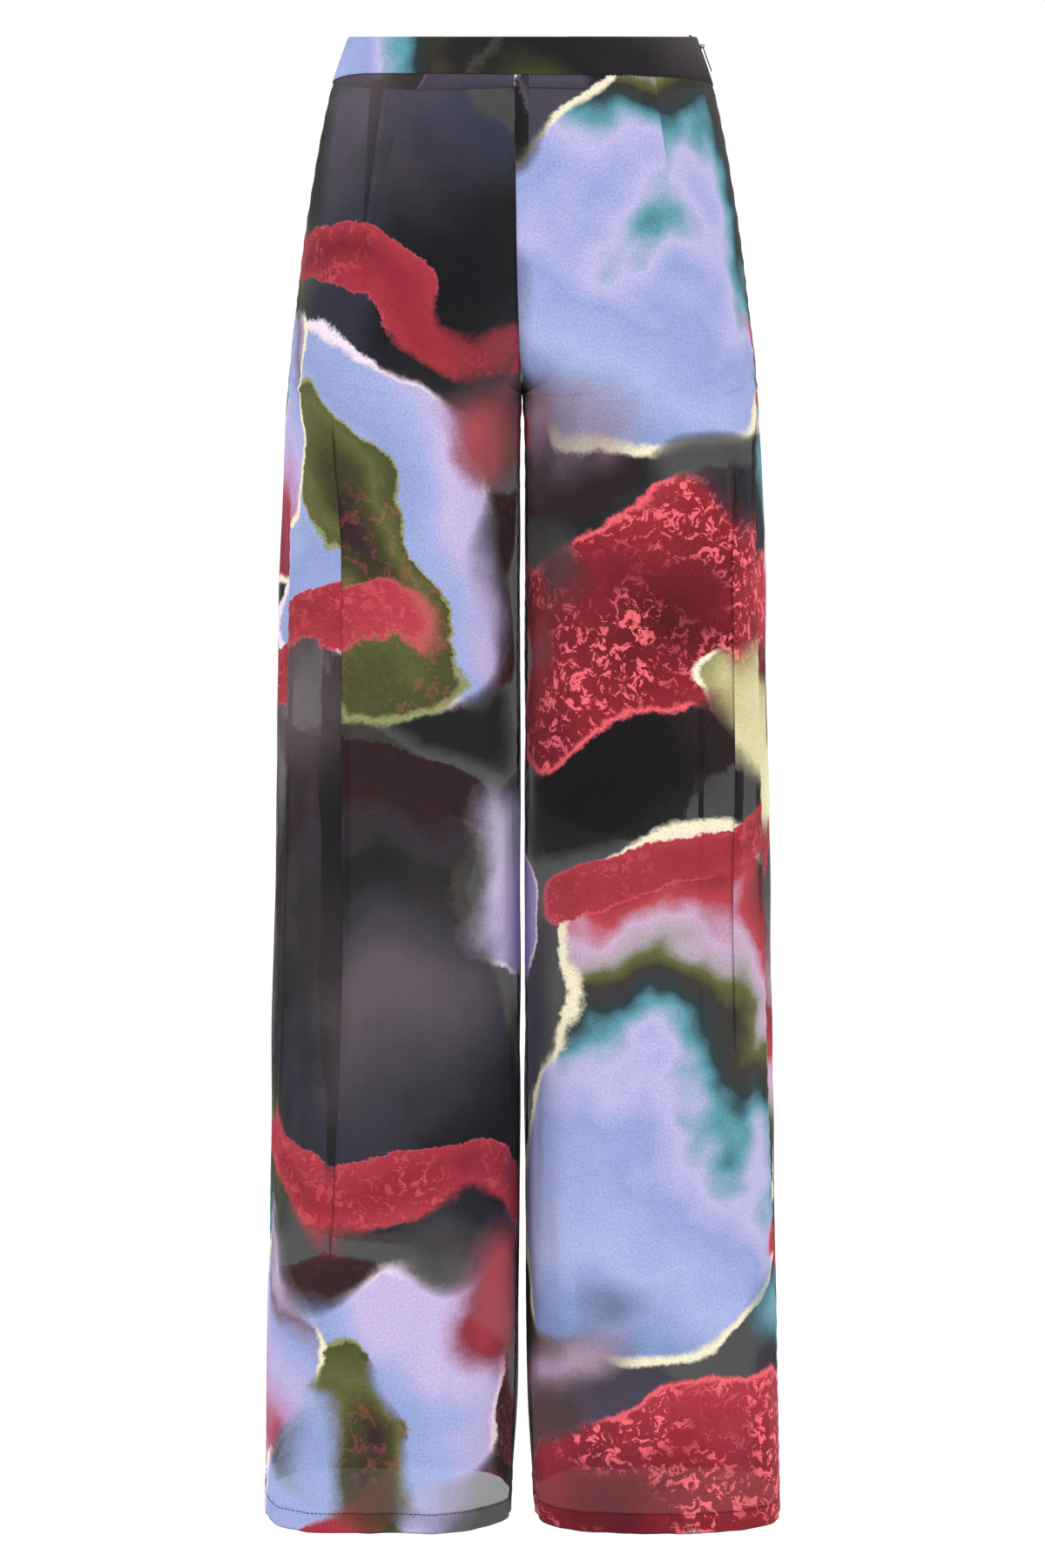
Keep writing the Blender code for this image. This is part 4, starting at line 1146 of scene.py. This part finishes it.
class TROUSERS_OT_studio(bpy.types.Operator):
    """Set a pale floor, soft studio light and the photograph's view"""

    bl_idname = "trousers.studio"
    bl_label = "Studio"

    def execute(self, context):
        scene = context.scene
        studio = scene.trousers_studio
        mesh = bmesh.new()
        bmesh.ops.create_circle(mesh, cap_ends=True, segments=96, radius=30.0)
        data = bpy.data.meshes.new("studio_floor")
        mesh.to_mesh(data)
        mesh.free()
        paint, nodes = empty_material("matt_white_floor_paint")
        nodes.surface(Base_Color=linear("#FFFFFF"), Roughness=0.9, Specular_IOR_Level=0.1)
        data.materials.append(paint)
        floor = placed("studio_floor", data)
        floor.location.z = studio.floor

        world = scene.world or bpy.data.worlds.new("studio_air")
        scene.world = world
        world.use_nodes = True
        nodes = Nodes(world.node_tree)
        glow = nodes.add("ShaderNodeBackground", {"Color": (1, 1, 1, 1), "Strength": studio.sky})
        nodes.add("ShaderNodeOutputWorld", {"Surface": glow.outputs[0]})

        def look(thing, place, toward):
            thing.location = place
            thing.rotation_euler = (Vector(toward) - thing.location).to_track_quat("-Z", "Y").to_euler()

        for name, place, wide, power in (
            ("key_softbox", (-1.6, -2.6, 1.3), 2.2, studio.key),
            ("fill_softbox", (2.4, -2.2, 0.2), 2.0, studio.key * 0.45),
            ("back_softbox", (0.6, 2.8, 1.2), 2.2, studio.key * 0.5),
        ):
            light = bpy.data.lights.new(name, "AREA")
            light.size = wide
            light.energy = power
            look(placed(name, light), place, (0, 0, -0.55))

        lens = bpy.data.cameras.new("photo_camera")
        lens.sensor_width = 36.0
        lens.lens = studio.lens
        camera = placed("photo_camera", lens)
        look(camera, (0, -studio.distance, studio.height), (0, 0, studio.aim))
        scene.camera = camera
        scene.view_settings.view_transform = "Standard"
        return {"FINISHED"}


class TROUSERS_PT_sidebar(bpy.types.Panel):
    """The trousers' settings and the steps that make them."""

    bl_idname = "TROUSERS_PT_sidebar"
    bl_label = "Trousers"
    bl_space_type = "VIEW_3D"
    bl_region_type = "UI"
    bl_category = "Trousers"

    def draw(self, context):
        for name, group in GROUPS.items():
            box = self.layout.box()
            for setting in group.__annotations__:
                box.prop(getattr(context.scene, name), setting)
        for step in STEPS:
            self.layout.operator(step.bl_idname)


STEPS = (
    TROUSERS_OT_panels,
    TROUSERS_OT_allowances,
    TROUSERS_OT_darts,
    TROUSERS_OT_waistband,
    TROUSERS_OT_threads,
    TROUSERS_OT_zip,
    TROUSERS_OT_cut,
    TROUSERS_OT_studio,
)
GROUPS = {
    "trousers_cloth": ClothSettings,
    "trousers_print": PrintSettings,
    "trousers_sewing": SewingSettings,
    "trousers_studio": StudioSettings,
}


def register():
    for group in GROUPS.values():
        bpy.utils.register_class(group)
    for step in STEPS:
        bpy.utils.register_class(step)
    bpy.utils.register_class(TROUSERS_PT_sidebar)
    for name, group in GROUPS.items():
        setattr(bpy.types.Scene, name, PointerProperty(type=group))


def unregister():
    for name in GROUPS:
        delattr(bpy.types.Scene, name)
    bpy.utils.unregister_class(TROUSERS_PT_sidebar)
    for cls in (*STEPS, *GROUPS.values()):
        bpy.utils.unregister_class(cls)


def main():
    register()
    for step in STEPS:
        group, name = step.bl_idname.split(".")
        getattr(getattr(bpy.ops, group), name)()


if __name__ == "__main__":
    main()
